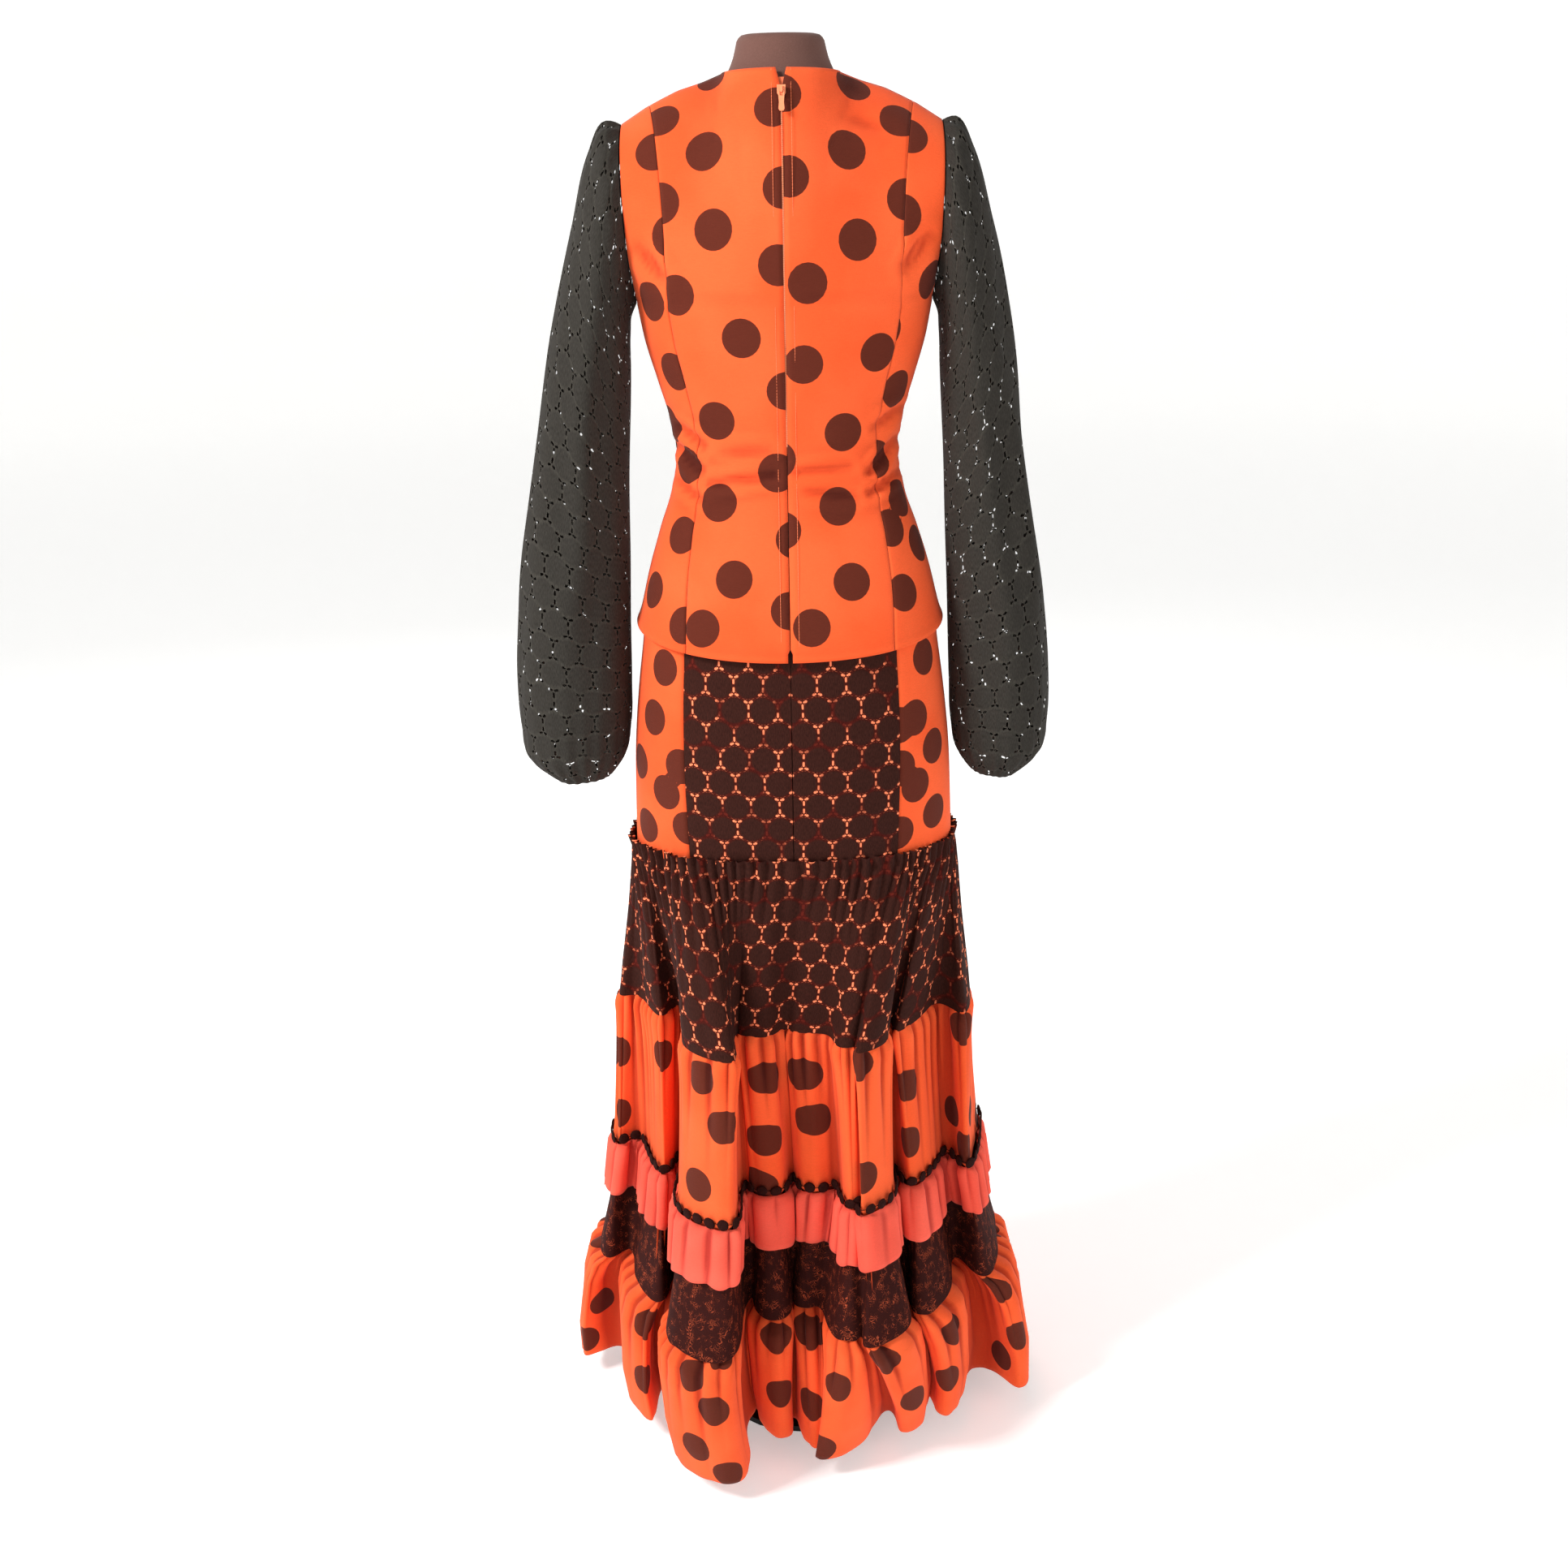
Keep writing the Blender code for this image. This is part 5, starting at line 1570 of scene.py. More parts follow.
@dataclass
class SkirtPlan:
    """The skirt's folds in plan at any height."""

    points: int = 1200

    @staticmethod
    def fold_plan(level: int) -> Array:
        """Lays the control points of the plan curve at one level.

        Args:
            level: Which of SKIRT_LEVELS.

        Returns:
            Four points for each fold: two at its crest and two in its valley.
        """
        columns = slice(2 * level, 2 * level + 2)
        crests = np.array(CRESTS)[:, columns] * MM
        valleys = np.array(VALLEYS)[:, columns] * MM
        reach = (valleys - np.roll(valleys, 1, axis=0)) * CREST_SPREAD
        radial = crests / np.linalg.norm(crests, axis=1, keepdims=True)
        reach -= CREST_LEVELLING * (reach * radial).sum(axis=1, keepdims=True) * radial
        dip = (np.roll(crests, -1, axis=0) - crests) * VALLEY_SPREAD
        folds = (crests - reach, crests + reach, valleys - dip, valleys + dip)
        return np.stack(folds, 1).reshape(-1, 2)

    def knots(self) -> Array:
        """Finds where each control point lies along the cloth.

        Returns:
            Shares of the way round.
        """
        total = np.zeros(4 * len(CRESTS))
        for level in (1, 2, 3):
            plan = self.fold_plan(level)
            total += np.linalg.norm(np.roll(plan, -1, axis=0) - plan, axis=1)
        run = np.concatenate([[0.0], np.cumsum(total)])
        return run[:-1] / run[-1]

    def curve(self, level: int, at: Array) -> Array:
        """Reads a smooth closed curve through one level's control points.

        Args:
            level: Which of SKIRT_LEVELS.
            at: Shares of the way round.

        Returns:
            Points in plan.
        """
        knots, points = self.knots(), self.fold_plan(level)
        count = len(points)
        gaps = np.append(knots[1:], 1.0) - knots
        i = np.clip(np.searchsorted(knots, at, side="right") - 1, 0, count - 1)
        t = ((at - knots[i]) / gaps[i])[:, None]
        spans = (gaps + np.roll(gaps, 1))[:, None]
        slopes = (np.roll(points, -1, 0) - np.roll(points, 1, 0)) / spans
        j, gap = (i + 1) % count, gaps[i][:, None]
        return hermite(t, (points[i], points[j]), (slopes[i] * gap, slopes[j] * gap))

    def ring(self, z: float) -> Array:
        """The plan curve at a height, evenly spaced along the cloth.

        Args:
            z: Height in metres.

        Returns:
            One point in plan for each place round the skirt.
        """
        shares = np.arange(FOLD_POINTS) / FOLD_POINTS
        tops = np.array((TIER_ONE_TOP_Z, *SKIRT_LEVELS))
        level = int(np.clip(np.searchsorted(-tops, -z) - 1, 0, 3))
        blend = float(np.clip((tops[level] - z) / (tops[level] - tops[level + 1]), 0.0, 1.0))
        if level == 0:
            angles = math.radians(FOLD_START) + 2 * math.pi * shares
            high = section_points(YOKE_SECTIONS, TIER_ONE_TOP_Z, angles)[:, :2]
        else:
            high = self.curve(level - 1, shares)
        ring = high + (self.curve(level, shares) - high) * blend
        ring = averaged(ring, FOLD_ROUNDING)
        if level == 3:
            puff = float(np.interp(blend, *np.array(RUFFLE_PUFF).T))
            ring = ring * (1 + puff / np.linalg.norm(ring, axis=1, keepdims=True))
        fine = np.arange(self.points) * FOLD_POINTS / self.points
        i = np.floor(fine).astype(int)
        t = (fine - i)[:, None]
        return averaged(ring[i] * (1 - t) + ring[(i + 1) % FOLD_POINTS] * t, 2)


def plan_normals(ring: Array) -> Array:
    """Outward normals of a ring in plan."""
    step = np.roll(ring, -1, axis=0) - np.roll(ring, 1, axis=0)
    return unit(np.stack([step[:, 1], -step[:, 0]], -1))


@dataclass
class Tier:
    """One gathered band of the skirt, with its rows in TIER_ROWS."""

    node: str
    slot: str
    row_pitch: float
    gather_depth: float
    gather_drop: float
    gathers: int
    material: Material
    flat: Pair
    rests_on: tuple[str, ...]
    seed: int
    wall: float = 0.0
    soft_folds: float = 0.0015
    hem_wave: float = 0.0
    cloth_width: float = 1.0
    header: float = 0.0
    # How unevenly the gathers follow one another, and over what distance
    jitter: Pair = (3.6, 0.060)
    # The gathers are pressed flat this close to the seam, by this share
    pressed: Pair = (0.8, 0.004)
    # The header's gathers are this much shallower and open upward over this height
    header_gathers: Pair = (0.45, 0.010)
    # Over what height the slow folds and the hem's wave fade
    slow_reach: float = 0.05
    hem_reach: float = 0.02

    def grid(self, plan: SkirtPlan) -> Array:
        """Lays the band at full detail.

        Args:
            plan: The skirt's folds.

        Returns:
            Points, rows from the lower edge up.
        """
        table = np.array(TIER_ROWS[self.node])[::-1]
        top, low = table[-1, 0], table[0, 0]
        count = max(3, int(round((top - low) / self.row_pitch)) + 1)
        heights = np.linspace(low, top, count)
        share = np.arange(plan.points) / plan.points
        place = share * self.cloth_width
        uneven = self.jitter[0] * soft_noise(place, self.jitter[1], self.seed)
        puffs = np.abs(np.sin(math.pi * self.gathers * share + 0.5 * uneven))
        ripple = (1.7 * puffs - 1.1) * (0.8 + 0.4 * soft_noise(place, 0.018, self.seed + 1))
        broad = soft_noise(place, 0.028, self.seed + 2)
        long = 0.4 + 0.6 * (0.5 + 0.5 * soft_noise(place, 0.022, self.seed + 3))
        lie = soft_noise(place, 0.016, self.seed + 4)
        drop = self.hem_wave * soft_noise(place, 0.012, self.seed + 5)
        seam = top - self.header
        rows = []
        for z in heights:
            shift = float(np.interp(z, table[:, 0], table[:, 1]))
            ring = plan.ring(float(np.interp(z, table[:, 0], table[:, 2])))
            below = max(seam - z, 0.0)
            fine = self.gather_depth * (ripple + 0.25) * np.exp(-below / (self.gather_drop * long))
            fine *= 1 - self.pressed[0] * math.exp(-below / self.pressed[1])
            if z > seam:
                scale, height = self.header_gathers
                fine = scale * self.gather_depth * (ripple + 0.5 * lie) * (1 + (z - seam) / height)
            slow = self.soft_folds * broad * min(1.0, 0.3 + below / self.slow_reach)
            slow *= 1.0 if self.hem_wave else min(1.0, 0.25 + (z - low) / self.slow_reach)
            moved = ring + plan_normals(ring) * (shift + fine + slow)[:, None]
            near_low = max(0.0, 1 - (z - low) / self.hem_reach)
            rows.append(np.column_stack([moved, z + drop * near_low]))
        return np.array(rows)

    def cut_of(self, grid: Array) -> Array:
        """Lays the band flat.

        Args:
            grid: The band's points.

        Returns:
            Metres round the cloth and metres up it for each point.
        """
        rows, cols = grid.shape[:2]
        base = grid[: max(2, rows // 2)]
        steps = np.linalg.norm(np.roll(base, -1, axis=1) - base, axis=2).mean(axis=0)
        u = np.concatenate([[0.0], np.cumsum(steps)])[:-1]
        up = np.linalg.norm(np.diff(grid, axis=0), axis=2)
        up = np.concatenate([[0.0], np.cumsum(np.median(up, axis=1))])
        return np.stack(
            [np.broadcast_to(u, (rows, cols)), np.broadcast_to(up[:, None], (rows, cols))], -1
        )


@dataclass
class Braid:
    """Crocheted motifs in a row on a thread, over the top edge of the coral ruffle."""

    wear: Wardrobe
    plan: SkirtPlan
    z: float = 0.3345
    outward: float = 0.0036
    pitch: float = 0.0162
    # Half width and half height of a motif, the dent between its petals and its sides
    half: Pair = (0.0070, 0.0068)
    petal: float = 0.03
    sides: int = 14
    # Scale and height of a motif's rings, and the height of its middle
    layers: Table = ((1.0, 0.0), (0.86, 0.0013), (0.5, 0.0022))
    middle_height: float = 0.0019
    # The thread and the motifs lie this much lower than z
    drop: float = 0.001
    thread_sides: int = 6
    thread_radius: float = 0.0004
    thread_inset: float = 0.0008

    def build(self) -> None:
        """Builds the motifs and the thread."""
        ring = self.plan.ring(self.z)
        out = plan_normals(ring)
        line = ring + out * self.outward
        closed = np.concatenate([line, line[:1]])
        run = running_length(closed)
        count = int(run[-1] / self.pitch)
        rng = np.random.default_rng(23)
        verts: list[Array] = []
        faces: Faces = []
        up = np.array([0.0, 0.0, 1.0])
        turns = 2 * math.pi * np.arange(self.sides) / self.sides
        for k in range(count):
            at = (k + 0.5) * run[-1] / count
            behind, place, ahead = read_line(closed, run, at + np.array([-0.003, 0.0, 0.003]))
            along = np.array([*unit(ahead - behind), 0.0])
            facing = np.array([along[1], -along[0], 0.0])
            half_w = self.half[0] * rng.uniform(0.92, 1.06)
            half_h = self.half[1] * rng.uniform(0.9, 1.1)
            middle = np.array([*place, self.z - self.drop + rng.uniform(-0.0008, 0.0008)])
            base = len(verts)
            flat = np.outer(np.cos(turns), along * half_w) + np.outer(np.sin(turns), up * half_h)
            flat *= (1 + self.petal * np.cos(5 * turns + k))[:, None]
            for scale, height in self.layers:
                verts += list(middle + flat * scale + facing * height)
            verts.append(middle + facing * self.middle_height)
            faces += ring_faces(len(self.layers), self.sides, base)
            tip = base + len(self.layers) * self.sides
            for s in range(self.sides):
                faces.append((tip - self.sides + s, tip - self.sides + (s + 1) % self.sides, tip))
            faces.append(tuple(base + s for s in reversed(range(self.sides))))
        motifs = plain_mesh("braid_motifs", verts, faces, self.wear.dark_thread)
        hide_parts("braid")
        thread = []
        for k in range(self.thread_sides):
            a = 2 * math.pi * k / self.thread_sides
            away = self.outward - self.thread_inset + self.thread_radius * math.cos(a)
            level = np.full(len(ring), self.z - self.drop + self.thread_radius * math.sin(a))
            thread.append(np.column_stack([ring + out * away, level]))
        tube = ring_faces(self.thread_sides, len(ring), wrapped=True)
        plain_mesh("braid_thread", np.concatenate(thread), tube, self.wear.dark_thread)


@dataclass
class Skirt:
    """Yoke, tiers, ruffles and lace band."""

    wear: Wardrobe
    plan: SkirtPlan = field(default_factory=SkirtPlan)
    yoke_pitch: float = 0.0045
    # The yoke: lowest and highest row, width of a panel's quarter and half a seam, as a share
    yoke_z: Pair = (0.7168, 1.095)
    quarter: float = 0.105
    seam_half: float = 0.0015
    seam_dip: float = 0.0008
    seam_reach: float = 0.003
    lining_inset: float = 0.0016
    # The yoke hangs loose below this height: over what height it comes in, and its depth
    slack: Triple = (0.93, 0.2, 0.0010)
    # How near a given dot lies to the cloth, how far in front it may lie, where others lie
    dot_search: float = 0.006
    seen_y: float = -0.06
    hidden_y: float = -0.03

    def tiers(self) -> list[Tier]:
        """Lists the bands below the yoke.

        Returns:
            The bands, from the inside out.
        """
        wear = self.wear
        return [
            Tier(
                "tier_one_backing", "dotted_crepe", 0.010, 0.0012, 0.05, 90, wear.plain,
                (1.38, 0.20), ("dress_form",), 61, cloth_width=1.38,
            ),
            Tier(
                "tier_one_lace", "skirt_lace", 0.0060, 0.0052, 0.080, 90, wear.skirt_lace,
                (1.45, 0.215), ("tier_one_backing_cloth",), 71, soft_folds=0.0032,
                cloth_width=1.44, header=0.0135,
            ),
            Tier(
                "tier_two", "dotted_crepe", 0.0050, 0.0085, 0.075, 94, wear.dotted, (2.10, 0.33),
                ("tier_one_lace_cloth",), 81, soft_folds=0.0026, cloth_width=1.86,
            ),
            Tier(
                "lace_band", "skirt_lace", 0.006, 0.0012, 0.05, 130, wear.edging, (2.20, 0.145),
                ("tier_two_cloth",), 91, soft_folds=0.0008, hem_wave=0.0015, cloth_width=2.1,
            ),
            Tier(
                "coral_ruffle", "coral_crepe", 0.0048, 0.0068, 0.090, 96, wear.coral, (2.10, 0.063),
                ("lace_band_cloth",), 101, wall=0.0006, soft_folds=0.0022, hem_wave=0.0022,
                cloth_width=1.95,
            ),
            Tier(
                "hem_ruffle", "dotted_crepe", 0.0052, 0.0095, 0.070, 108, wear.dotted, (2.60, 0.18),
                ("lace_band_cloth",), 111, wall=0.0006, soft_folds=0.0034, hem_wave=0.0014,
                cloth_width=2.36,
            ),
        ]

    def build_tier(self, tier: Tier) -> None:
        """Builds one band.

        Args:
            tier: Its sizes.
        """
        grid = tier.grid(self.plan)
        cut = tier.cut_of(grid)
        dots = None
        if tier.material is self.wear.dotted:
            flat = grid.reshape(-1, 3)
            flat_cut = cut.reshape(-1, 2)
            centres = []
            for spot in np.array(SKIRT_DOTS[tier.node]) * MM:
                far = np.hypot(*(flat[:, ::2] - spot).T)
                near = np.flatnonzero((far < self.dot_search) & (flat[:, 1] > self.seen_y))
                if len(near):
                    centres.append(flat_cut[near[np.argmax(flat[near, 1])]])
            given = np.array(centres).reshape(-1, 2)
            hidden = grid[..., 1] < self.hidden_y
            dots = dot_edges(cut, scattered(cut, given, tier.seed, hidden))
        Shell(
            f"{tier.node}_cloth", tier.node, tier.slot, grid, cut, True, tier.material,
            tier.flat, Hold.GATHERED, tier.rests_on, wall=tier.wall, dots=dots,
        ).build()

    def yoke_grid(self, first: float, last: float, inset: float) -> Array:
        """Points of one yoke panel.

        Args:
            first: Its start: -1 and 1 are the back seams, 3 and 5 the front ones, 0 the centre.
            last: Its end, in the same terms.
            inset: How far inside the outer face it lies.

        Returns:
            The grid, rows upward.
        """
        low, high = self.yoke_z
        z = np.linspace(low, high, int((high - low) / self.yoke_pitch))
        count = int(round(self.quarter / self.yoke_pitch * (last - first))) + 1
        c = np.linspace(first + self.seam_half, last - self.seam_half, count)
        seam = steps_read(YOKE_SEAM, z)[:, None]
        turn = np.mod(c + 2.0, 8.0) - 2.0
        front = turn > 2.0
        local = np.where(front, turn - 4.0, turn)[None, :]
        away = np.abs(local)
        share = np.where(away <= 1, seam * away, seam + (1 - seam) * (away - 1))
        angle = 0.5 * math.pi * (1 - np.clip(share, 0, 1))
        angle = np.where(front[None, :], -angle, angle)
        grid = section_points(YOKE_SECTIONS, z[:, None], angle, inset)
        mirror = np.where(front[None, :], local < 0, local > 0)
        grid[..., 0] *= np.where(mirror, -1.0, 1.0)
        return grid

    def yoke_dots(self, name: str, grid: Array) -> Array:
        """Finds the centres of the printed dots of a yoke side panel.

        Args:
            name: The solid that the panel stands for.
            grid: The panel's points.

        Returns:
            The centres.
        """
        flat = grid.reshape(-1, 3)
        given = []
        for spot in np.array(SKIRT_DOTS[name]) * MM:
            far = np.hypot(*(flat[:, ::2] - spot).T) + np.where(flat[:, 1] > 0, 0, 1)
            given.append(flat[np.argmin(far)])
        free = flat[:, 1] < 0.0
        return scattered(grid, np.array(given).reshape(-1, 3), 131 + len(name), free)

    def build_yoke(self) -> None:
        """Builds the yoke: dotted sides, lace over lining at the centre back and front."""
        spans = (
            ("yoke_back_left", -1, 0, True, (0.120, 0.385), 0.041),
            ("yoke_back_right", 0, 1, True, (0.120, 0.385), 0.041),
            ("yoke_side_right", 1, 3, False, (0.240, 0.385), 0.080),
            ("yoke_front", 3, 5, True, (0.235, 0.385), 0.080),
            ("yoke_side_left", 5, 7, False, (0.240, 0.385), 0.080),
        )
        for name, first, last, laced, flat, area in spans:
            grid = self.yoke_grid(first, last, 0.0)
            normal = grid_normals(grid, False, 1.0)
            span = np.linalg.norm(np.diff(grid, axis=1), axis=2).sum(axis=1)[:, None]
            columns = np.linspace(0, 1, grid.shape[1])[None, :]
            dip = seam_dips(columns * span, (1 - columns) * span, self.seam_reach)
            start, reach, depth = self.slack
            slack = soft_noise(grid[..., 0] + 0.5, 0.022, 17)
            slack = slack * np.clip((start - grid[..., 2]) / reach, 0, 1) * depth
            shaped = grid - normal * (self.seam_dip * dip + slack)[..., None]
            cut = run_lengths(grid)
            below = ("dress_form",)
            if laced:
                Shell(
                    f"{name}_lace", name, "skirt_lace", shaped, cut, False,
                    self.wear.skirt_lace, flat, Hold.HUNG, below, area=area,
                ).build()
                lining = self.yoke_grid(first, last, self.lining_inset)
                Shell(
                    f"{name}_lining", f"{name}_backing", "dotted_crepe", lining,
                    run_lengths(lining), False, self.wear.plain, flat, Hold.HUNG, below, area=area,
                ).build()
                continue
            dots = dot_edges(shaped, self.yoke_dots(name, shaped))
            Shell(
                f"{name}_cloth", name, "dotted_crepe", shaped, cut, False, self.wear.dotted,
                flat, Hold.HUNG, below, wall=0.0006, area=area, dots=dots,
            ).build()

    def build(self) -> None:
        """Builds the whole skirt."""
        self.build_yoke()
        for tier in self.tiers():
            self.build_tier(tier)
        Braid(self.wear, self.plan).build()


@dataclass
class Weld:
    """Points and faces in which points at the same place are one."""

    verts: list[Array] = field(default_factory=list)
    faces: Faces = field(default_factory=list)
    index: dict[tuple[float, ...], int] = field(default_factory=dict)

    def face(self, points: Sequence[Array]) -> None:
        """Adds a face unless its corners fall together.

        Args:
            points: Its corners in order.
        """
        ids = []
        for point in points:
            ids.append(self.index.setdefault(tuple(np.round(point, 6)), len(self.verts)))
            if ids[-1] == len(self.verts):
                self.verts.append(np.array(point))
        corners = tuple(dict.fromkeys(ids))
        if len(corners) > 2:
            self.faces.append(corners)

    def band(self, below: Sequence[Array], above: Sequence[Array]) -> None:
        """Joins two rings of points.

        Args:
            below: The lower ring.
            above: The upper ring, with as many points.
        """
        for i in range(len(below)):
            j = (i + 1) % len(below)
            self.face([below[i], below[j], above[j], above[i]])


@dataclass
class DressForm:
    """The limbless form under the dress, smooth and whole."""

    wear: Wardrobe
    clearance: float = 0.0055
    low_z: float = 0.872
    # The neck's lowest rings dip in front: how far, and the share of it for each ring
    neck_root_drop: float = 0.014
    root_shares: tuple[float, ...] = (1.0, 0.45, 0.12)
    # Columns of the upper edge, to each side of the centre, from which the neck rises
    neck_columns: int = 12
    root_half: Pair = (0.057, 0.062)
    # Height, half width, half depth and centre of the neck's rings in millimetres
    neck: Table = (
        (1494.5, 50, 54.5, -6.5),
        (1498.5, 48, 53, -7),
        (1505, 45.5, 50, -8.5),
        (1512, 43.6, 48.1, -9.4),
        (1519, 42, 46.5, -10),
        (1522, 40.2, 44.7, -10),
        (1524.3, 37.5, 42, -10),
        (1525.3, 33, 37.2, -10),
        (1525.5, 29, 33, -10),
    )

    def half_rows(self, back: bool) -> list[Array]:
        """Follows one half of the form up from the seat to the shoulders.

        Args:
            back: True for the back, false for the front.

        Returns:
            Rows of points, each from the left armhole to the right.
        """
        neck, shoulder = np.linspace(0, NECK_SHARE, 13), np.linspace(NECK_SHARE, 1, 17)[1:]
        shares = np.concatenate([neck, shoulder])
        side = 1.0 if back else -1.0
        angle = side * 0.5 * math.pi * (1 - shares)
        level = np.ones(len(shares))
        spans = (
            (YOKE_SECTIONS, np.linspace(self.low_z, 1.052, 14)),
            (TOP_SECTIONS, np.linspace(1.064, UNDERARM_Z, 18)),
        )
        rows = []
        for table, heights in spans:
            rows += [section_points(table, z * level, angle, self.clearance) for z in heights]
        for rise in np.linspace(0, 1, 22)[1:]:
            rows.append(upper_points(shares, back, rise * level, self.clearance))
        made = []
        for row in rows:
            mirrored = row * np.array([-1.0, 1.0, 1.0])
            made.append(np.concatenate([row[:0:-1], mirrored]))
        return made

    def build(self) -> None:
        """Builds the form."""
        backs, fronts = self.half_rows(True), self.half_rows(False)
        loops = [np.concatenate([b, f[::-1]]) for b, f in zip(backs, fronts)]
        weld = Weld()
        for below, above in zip(loops, loops[1:]):
            weld.band(below, above)
        middle, reach = len(backs[-1]) // 2, self.neck_columns
        columns = list(range(middle - reach, middle + reach + 1))
        below = [backs[-1][i] for i in columns] + [fronts[-1][i] for i in columns[::-1]][1:-1]
        root_x, root_y = self.root_half
        turns = [math.atan2((p[1] - SHOULDER_Y) / root_y, p[0] / root_x) for p in below]
        drops = [self.neck_root_drop * share for share in self.root_shares]
        drops += [0.0] * (len(self.neck) - len(drops))
        for (z, half, deep, back), drop in zip(np.array(self.neck) * MM, drops):
            ring = []
            for turn in turns:
                dip = drop * max(0.0, -math.sin(turn))
                x, y = half * math.cos(turn), back + deep * math.sin(turn)
                ring.append(np.array([x, y, z - dip]))
            weld.band(below, ring)
            below = ring
        weld.face(below)
        weld.face(loops[0][::-1])
        form = plain_mesh("form_cover", weld.verts, weld.faces, self.wear.jersey)
        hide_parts("dress_form")


@dataclass
class Zip:
    """The centre back zip: tape, coil, slider and pull tab."""

    wear: Wardrobe
    tooth_pitch: float = 0.0013
    tooth_half: float = 0.00085
    tooth_size: Pair = (0.00042, 0.00050)
    coil_depth: float = 0.0007
    tape_depth: float = 0.0026
    tape_half: float = 0.0045
    low_z: float = 1.152
    high_z: float = 1.466

    def centre_line(self) -> tuple[Array, Array]:
        """Follows the cloth up the centre back.

        Returns:
            Points and their outward normals.
        """
        z = np.arange(1.10, UNDERARM_Z, 0.004)
        low = section_points(TOP_SECTIONS, z, np.full(len(z), 0.5 * math.pi))
        rise = np.linspace(0, 1, 50)
        high = upper_points(np.zeros(50), True, rise)
        line = np.concatenate([low, high])
        step = np.gradient(line, axis=0)
        out = np.stack([np.zeros(len(step)), step[:, 2], -step[:, 1]], -1)
        return line, unit(out)

    def build(self, nodes: dict[str, Piece]) -> None:
        """Builds the tape and the coil, and dresses the slider and the tab.

        Args:
            nodes: The frame's solids by name.
        """
        line, out = self.centre_line()
        keep = line[:, 2] > self.low_z - 0.01
        tape_line = (line - out * self.tape_depth)[keep][:-2]
        half = np.array([self.tape_half, 0.0, 0.0])
        grid = np.stack([tape_line + half, tape_line, tape_line - half], axis=1)
        Shell(
            "zip_tape_cloth", "zip_tape", "zip_plastic", grid, run_lengths(grid), False,
            self.wear.tape, (0.0100, 0.36), Hold.HUNG, ("top_back_left_cloth",),
        ).build()
        run = running_length(line)
        start = float(np.interp(self.low_z, line[:, 2], run))
        stop = float(np.interp(self.high_z, line[:, 2], run))
        at = np.arange(start, stop, self.tooth_pitch)
        normal = read_line(out, run, at)
        spot = read_line(line, run, at) - normal * self.coil_depth
        ends = np.array([self.tooth_half, 0.0, 0.0])
        path = np.stack([spot + ends, spot - ends], axis=1).reshape(-1, 3)
        bars("zip_coil", path, normal.repeat(2, axis=0), self.tooth_size, self.wear.nylon, 2)
        for name in ("zip_slider", "zip_pull_tab"):
            dress_node(nodes[name], self.wear.nylon)


def dress_node(node: Piece, material: Material) -> None:
    """Gives a solid of the frame a better material in its own slots."""
    for slot in node.material_slots:
        slot.material = material


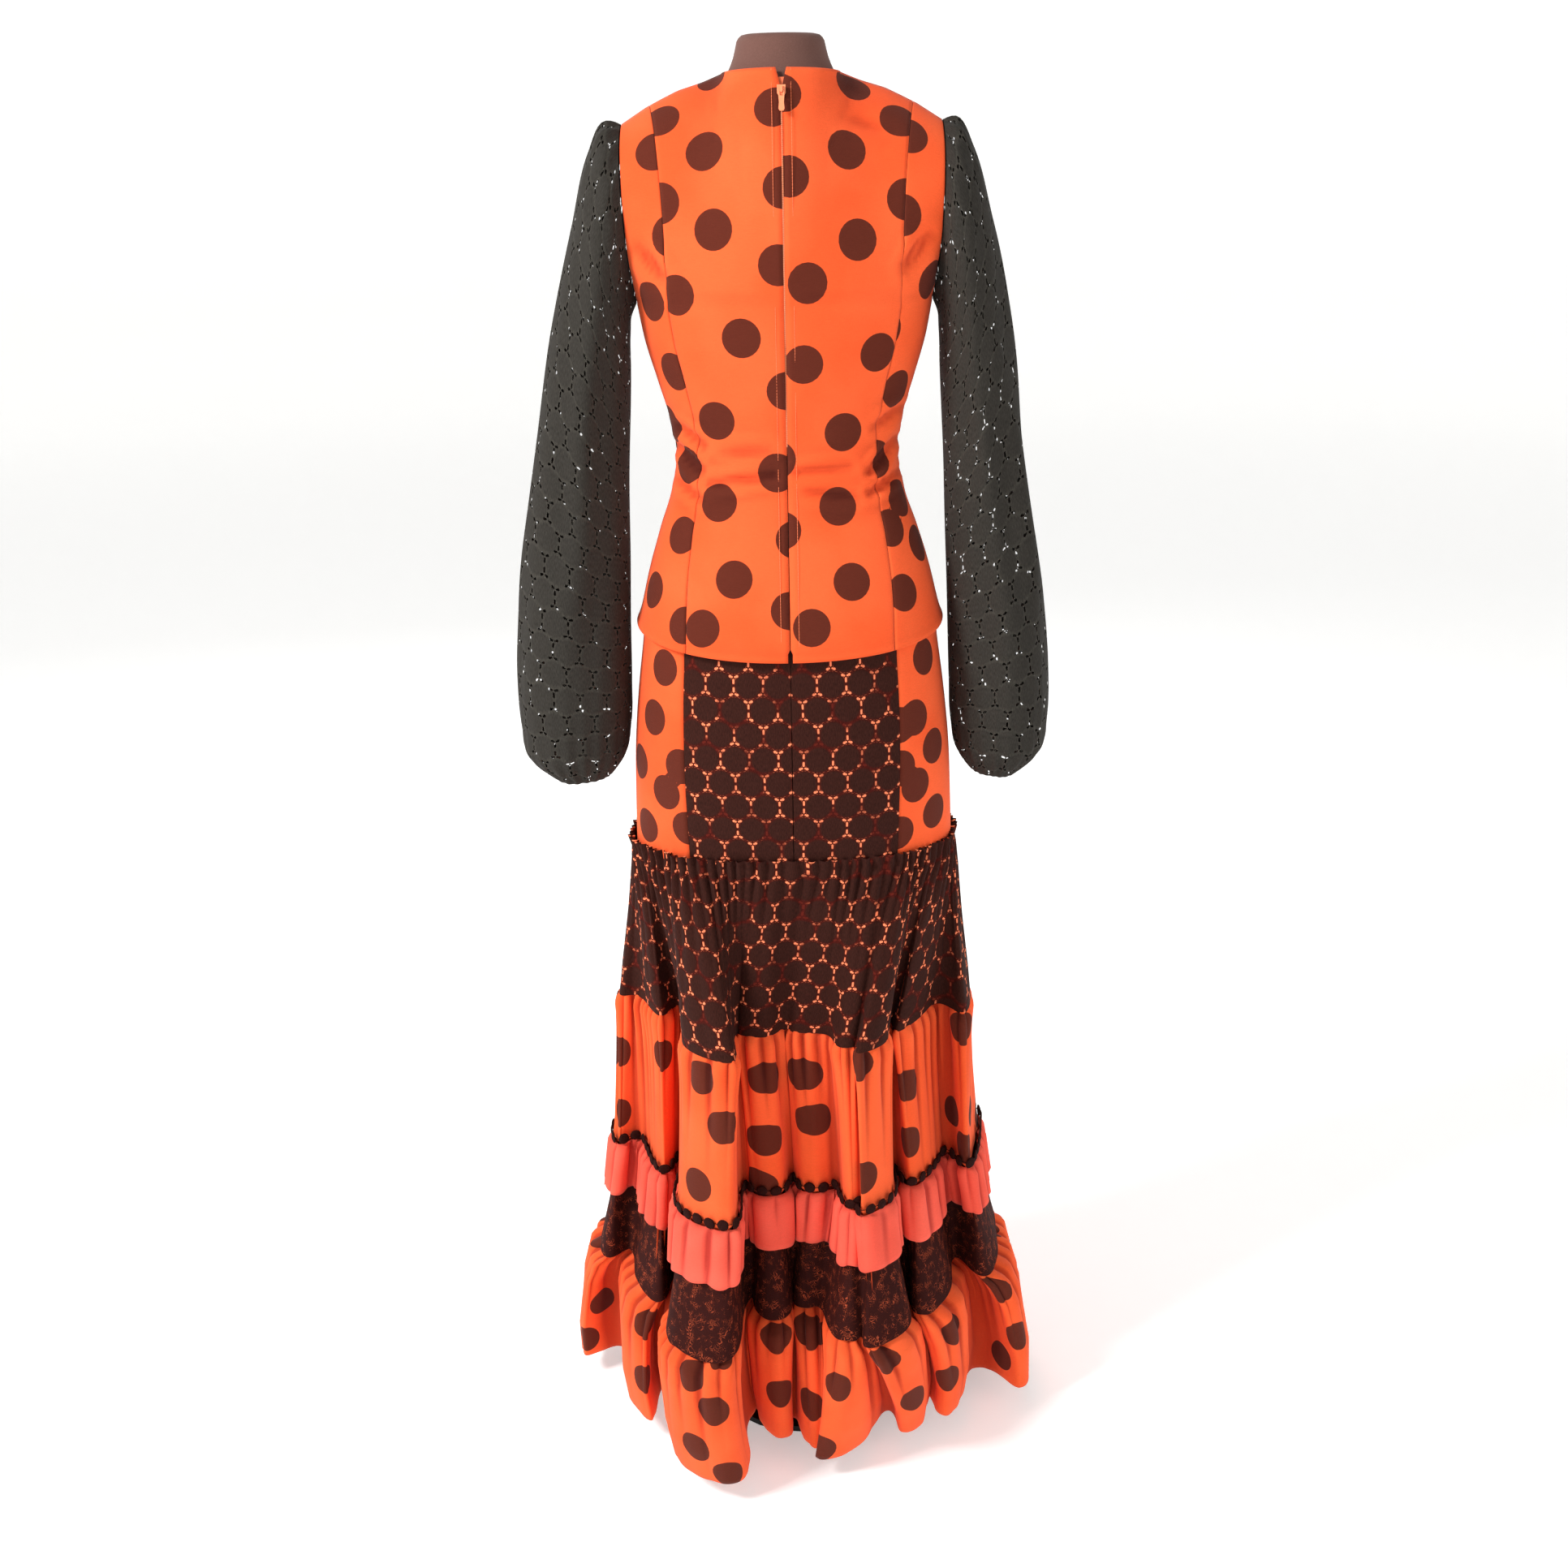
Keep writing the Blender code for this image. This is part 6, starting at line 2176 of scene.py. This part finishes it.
@dataclass
class Studio:
    """Pale floor, soft light and the camera."""

    eye: Triple = (0.0, 2.0, 1.448)
    tilt_down: float = 22.0
    roll: float = 0.94
    lens: float = 44.33
    shift: Pair = (-0.0067, 0.0750)
    # Radius and height of the floor's rings, which rise into a bowl
    rings: Table = (
        (8.5, 0.0),
        (9.0, 0.0),
        (10.2, 0.06),
        (11.2, 0.4),
        (11.9, 1.1),
        (12.3, 2.2),
        (12.5, 4.0),
        (12.5, 8.0),
    )
    sides: int = 48
    # Place, size and power of each lamp, and the height that they aim at
    lamps: dict[str, tuple[Triple, float, float]] = field(
        default_factory=lambda: {
            "key_softbox": ((2.2, 1.4, 2.9), 0.7, 100.0),
            "fill_softbox": ((-2.4, 1.6, 1.8), 1.6, 11.0),
            "front_softbox": ((0.5, -2.8, 2.4), 1.6, 26.0),
        }
    )
    aim_z: float = 0.9
    sky: float = 0.27

    def build(self) -> None:
        """Builds the stage, the lights and the camera."""
        scene = bpy.context.scene
        scene.view_settings.view_transform = "Standard"
        mesh = bpy.data.meshes.new("studio_floor")
        turn = 2 * math.pi * np.arange(self.sides) / self.sides
        ring = np.stack([np.cos(turn), np.sin(turn), np.zeros(self.sides)], -1)
        verts = np.concatenate([ring * r + np.array([0.0, 0.0, z]) for r, z in self.rings])
        faces = [tuple(range(self.sides))]
        faces += [face[::-1] for face in ring_faces(len(self.rings), self.sides)]
        mesh.from_pydata(verts.tolist(), [], faces)
        mesh.shade_smooth()
        # Matt studio paint: a near-white ground that gives back a little light of its own
        paint = Finish(
            "painted_studio_floor", "#f7f6f5", "#fbfbfa", 30.0, 0.01, 0.9, specular=0.0, glow=0.40
        )
        mesh.materials.append(paint.make())
        placed("studio_floor", mesh)
        world = bpy.data.worlds.new("studio_light")
        scene.world = world
        world.use_nodes = True
        back = world.node_tree.nodes["Background"]
        back.inputs[0].default_value = linear("#ffffff")
        back.inputs[1].default_value = self.sky
        for name, (place, size, power) in self.lamps.items():
            light = bpy.data.lights.new(name, "AREA")
            light.size = size
            light.energy = power
            lamp = placed(name, light)
            lamp.location = place
            aim = Vector((0.0, 0.0, self.aim_z)) - Vector(place)
            lamp.rotation_euler = aim.to_track_quat("-Z", "Y").to_euler()
        self.camera()

    def camera(self) -> None:
        """Puts the camera where the photograph was taken from."""
        data = bpy.data.cameras.new("photo_camera")
        data.lens = self.lens
        data.sensor_width = 36.0
        data.shift_x, data.shift_y = self.shift
        tilt, roll = math.radians(self.tilt_down), math.radians(self.roll)
        right = np.array([-1.0, 0.0, 0.0])
        back = np.array([0.0, math.cos(tilt), math.sin(tilt)])
        up = np.cross(back, right)
        turned_up = up * math.cos(roll) + right * math.sin(roll)
        turned_right = right * math.cos(roll) - up * math.sin(roll)
        rows = np.eye(4)
        rows[:3] = np.column_stack([turned_right, turned_up, back, self.eye])
        camera = placed("photo_camera", data)
        camera.matrix_world = Matrix(rows.tolist())
        bpy.context.scene.camera = camera


def main() -> None:
    """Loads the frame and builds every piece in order."""
    logging.basicConfig(level=logging.INFO, format="%(name)s %(message)s")
    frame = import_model()
    wear = Wardrobe()
    DressForm(wear).build()
    FittedTop(wear).build()
    Sleeves(wear).build()
    Skirt(wear).build()
    Zip(wear).build(frame["nodes"])
    for name in ("stand_pole", "stand_foot"):
        dress_node(frame["nodes"][name], wear.steel)
    Studio().build()


if __name__ == "__main__":
    main()
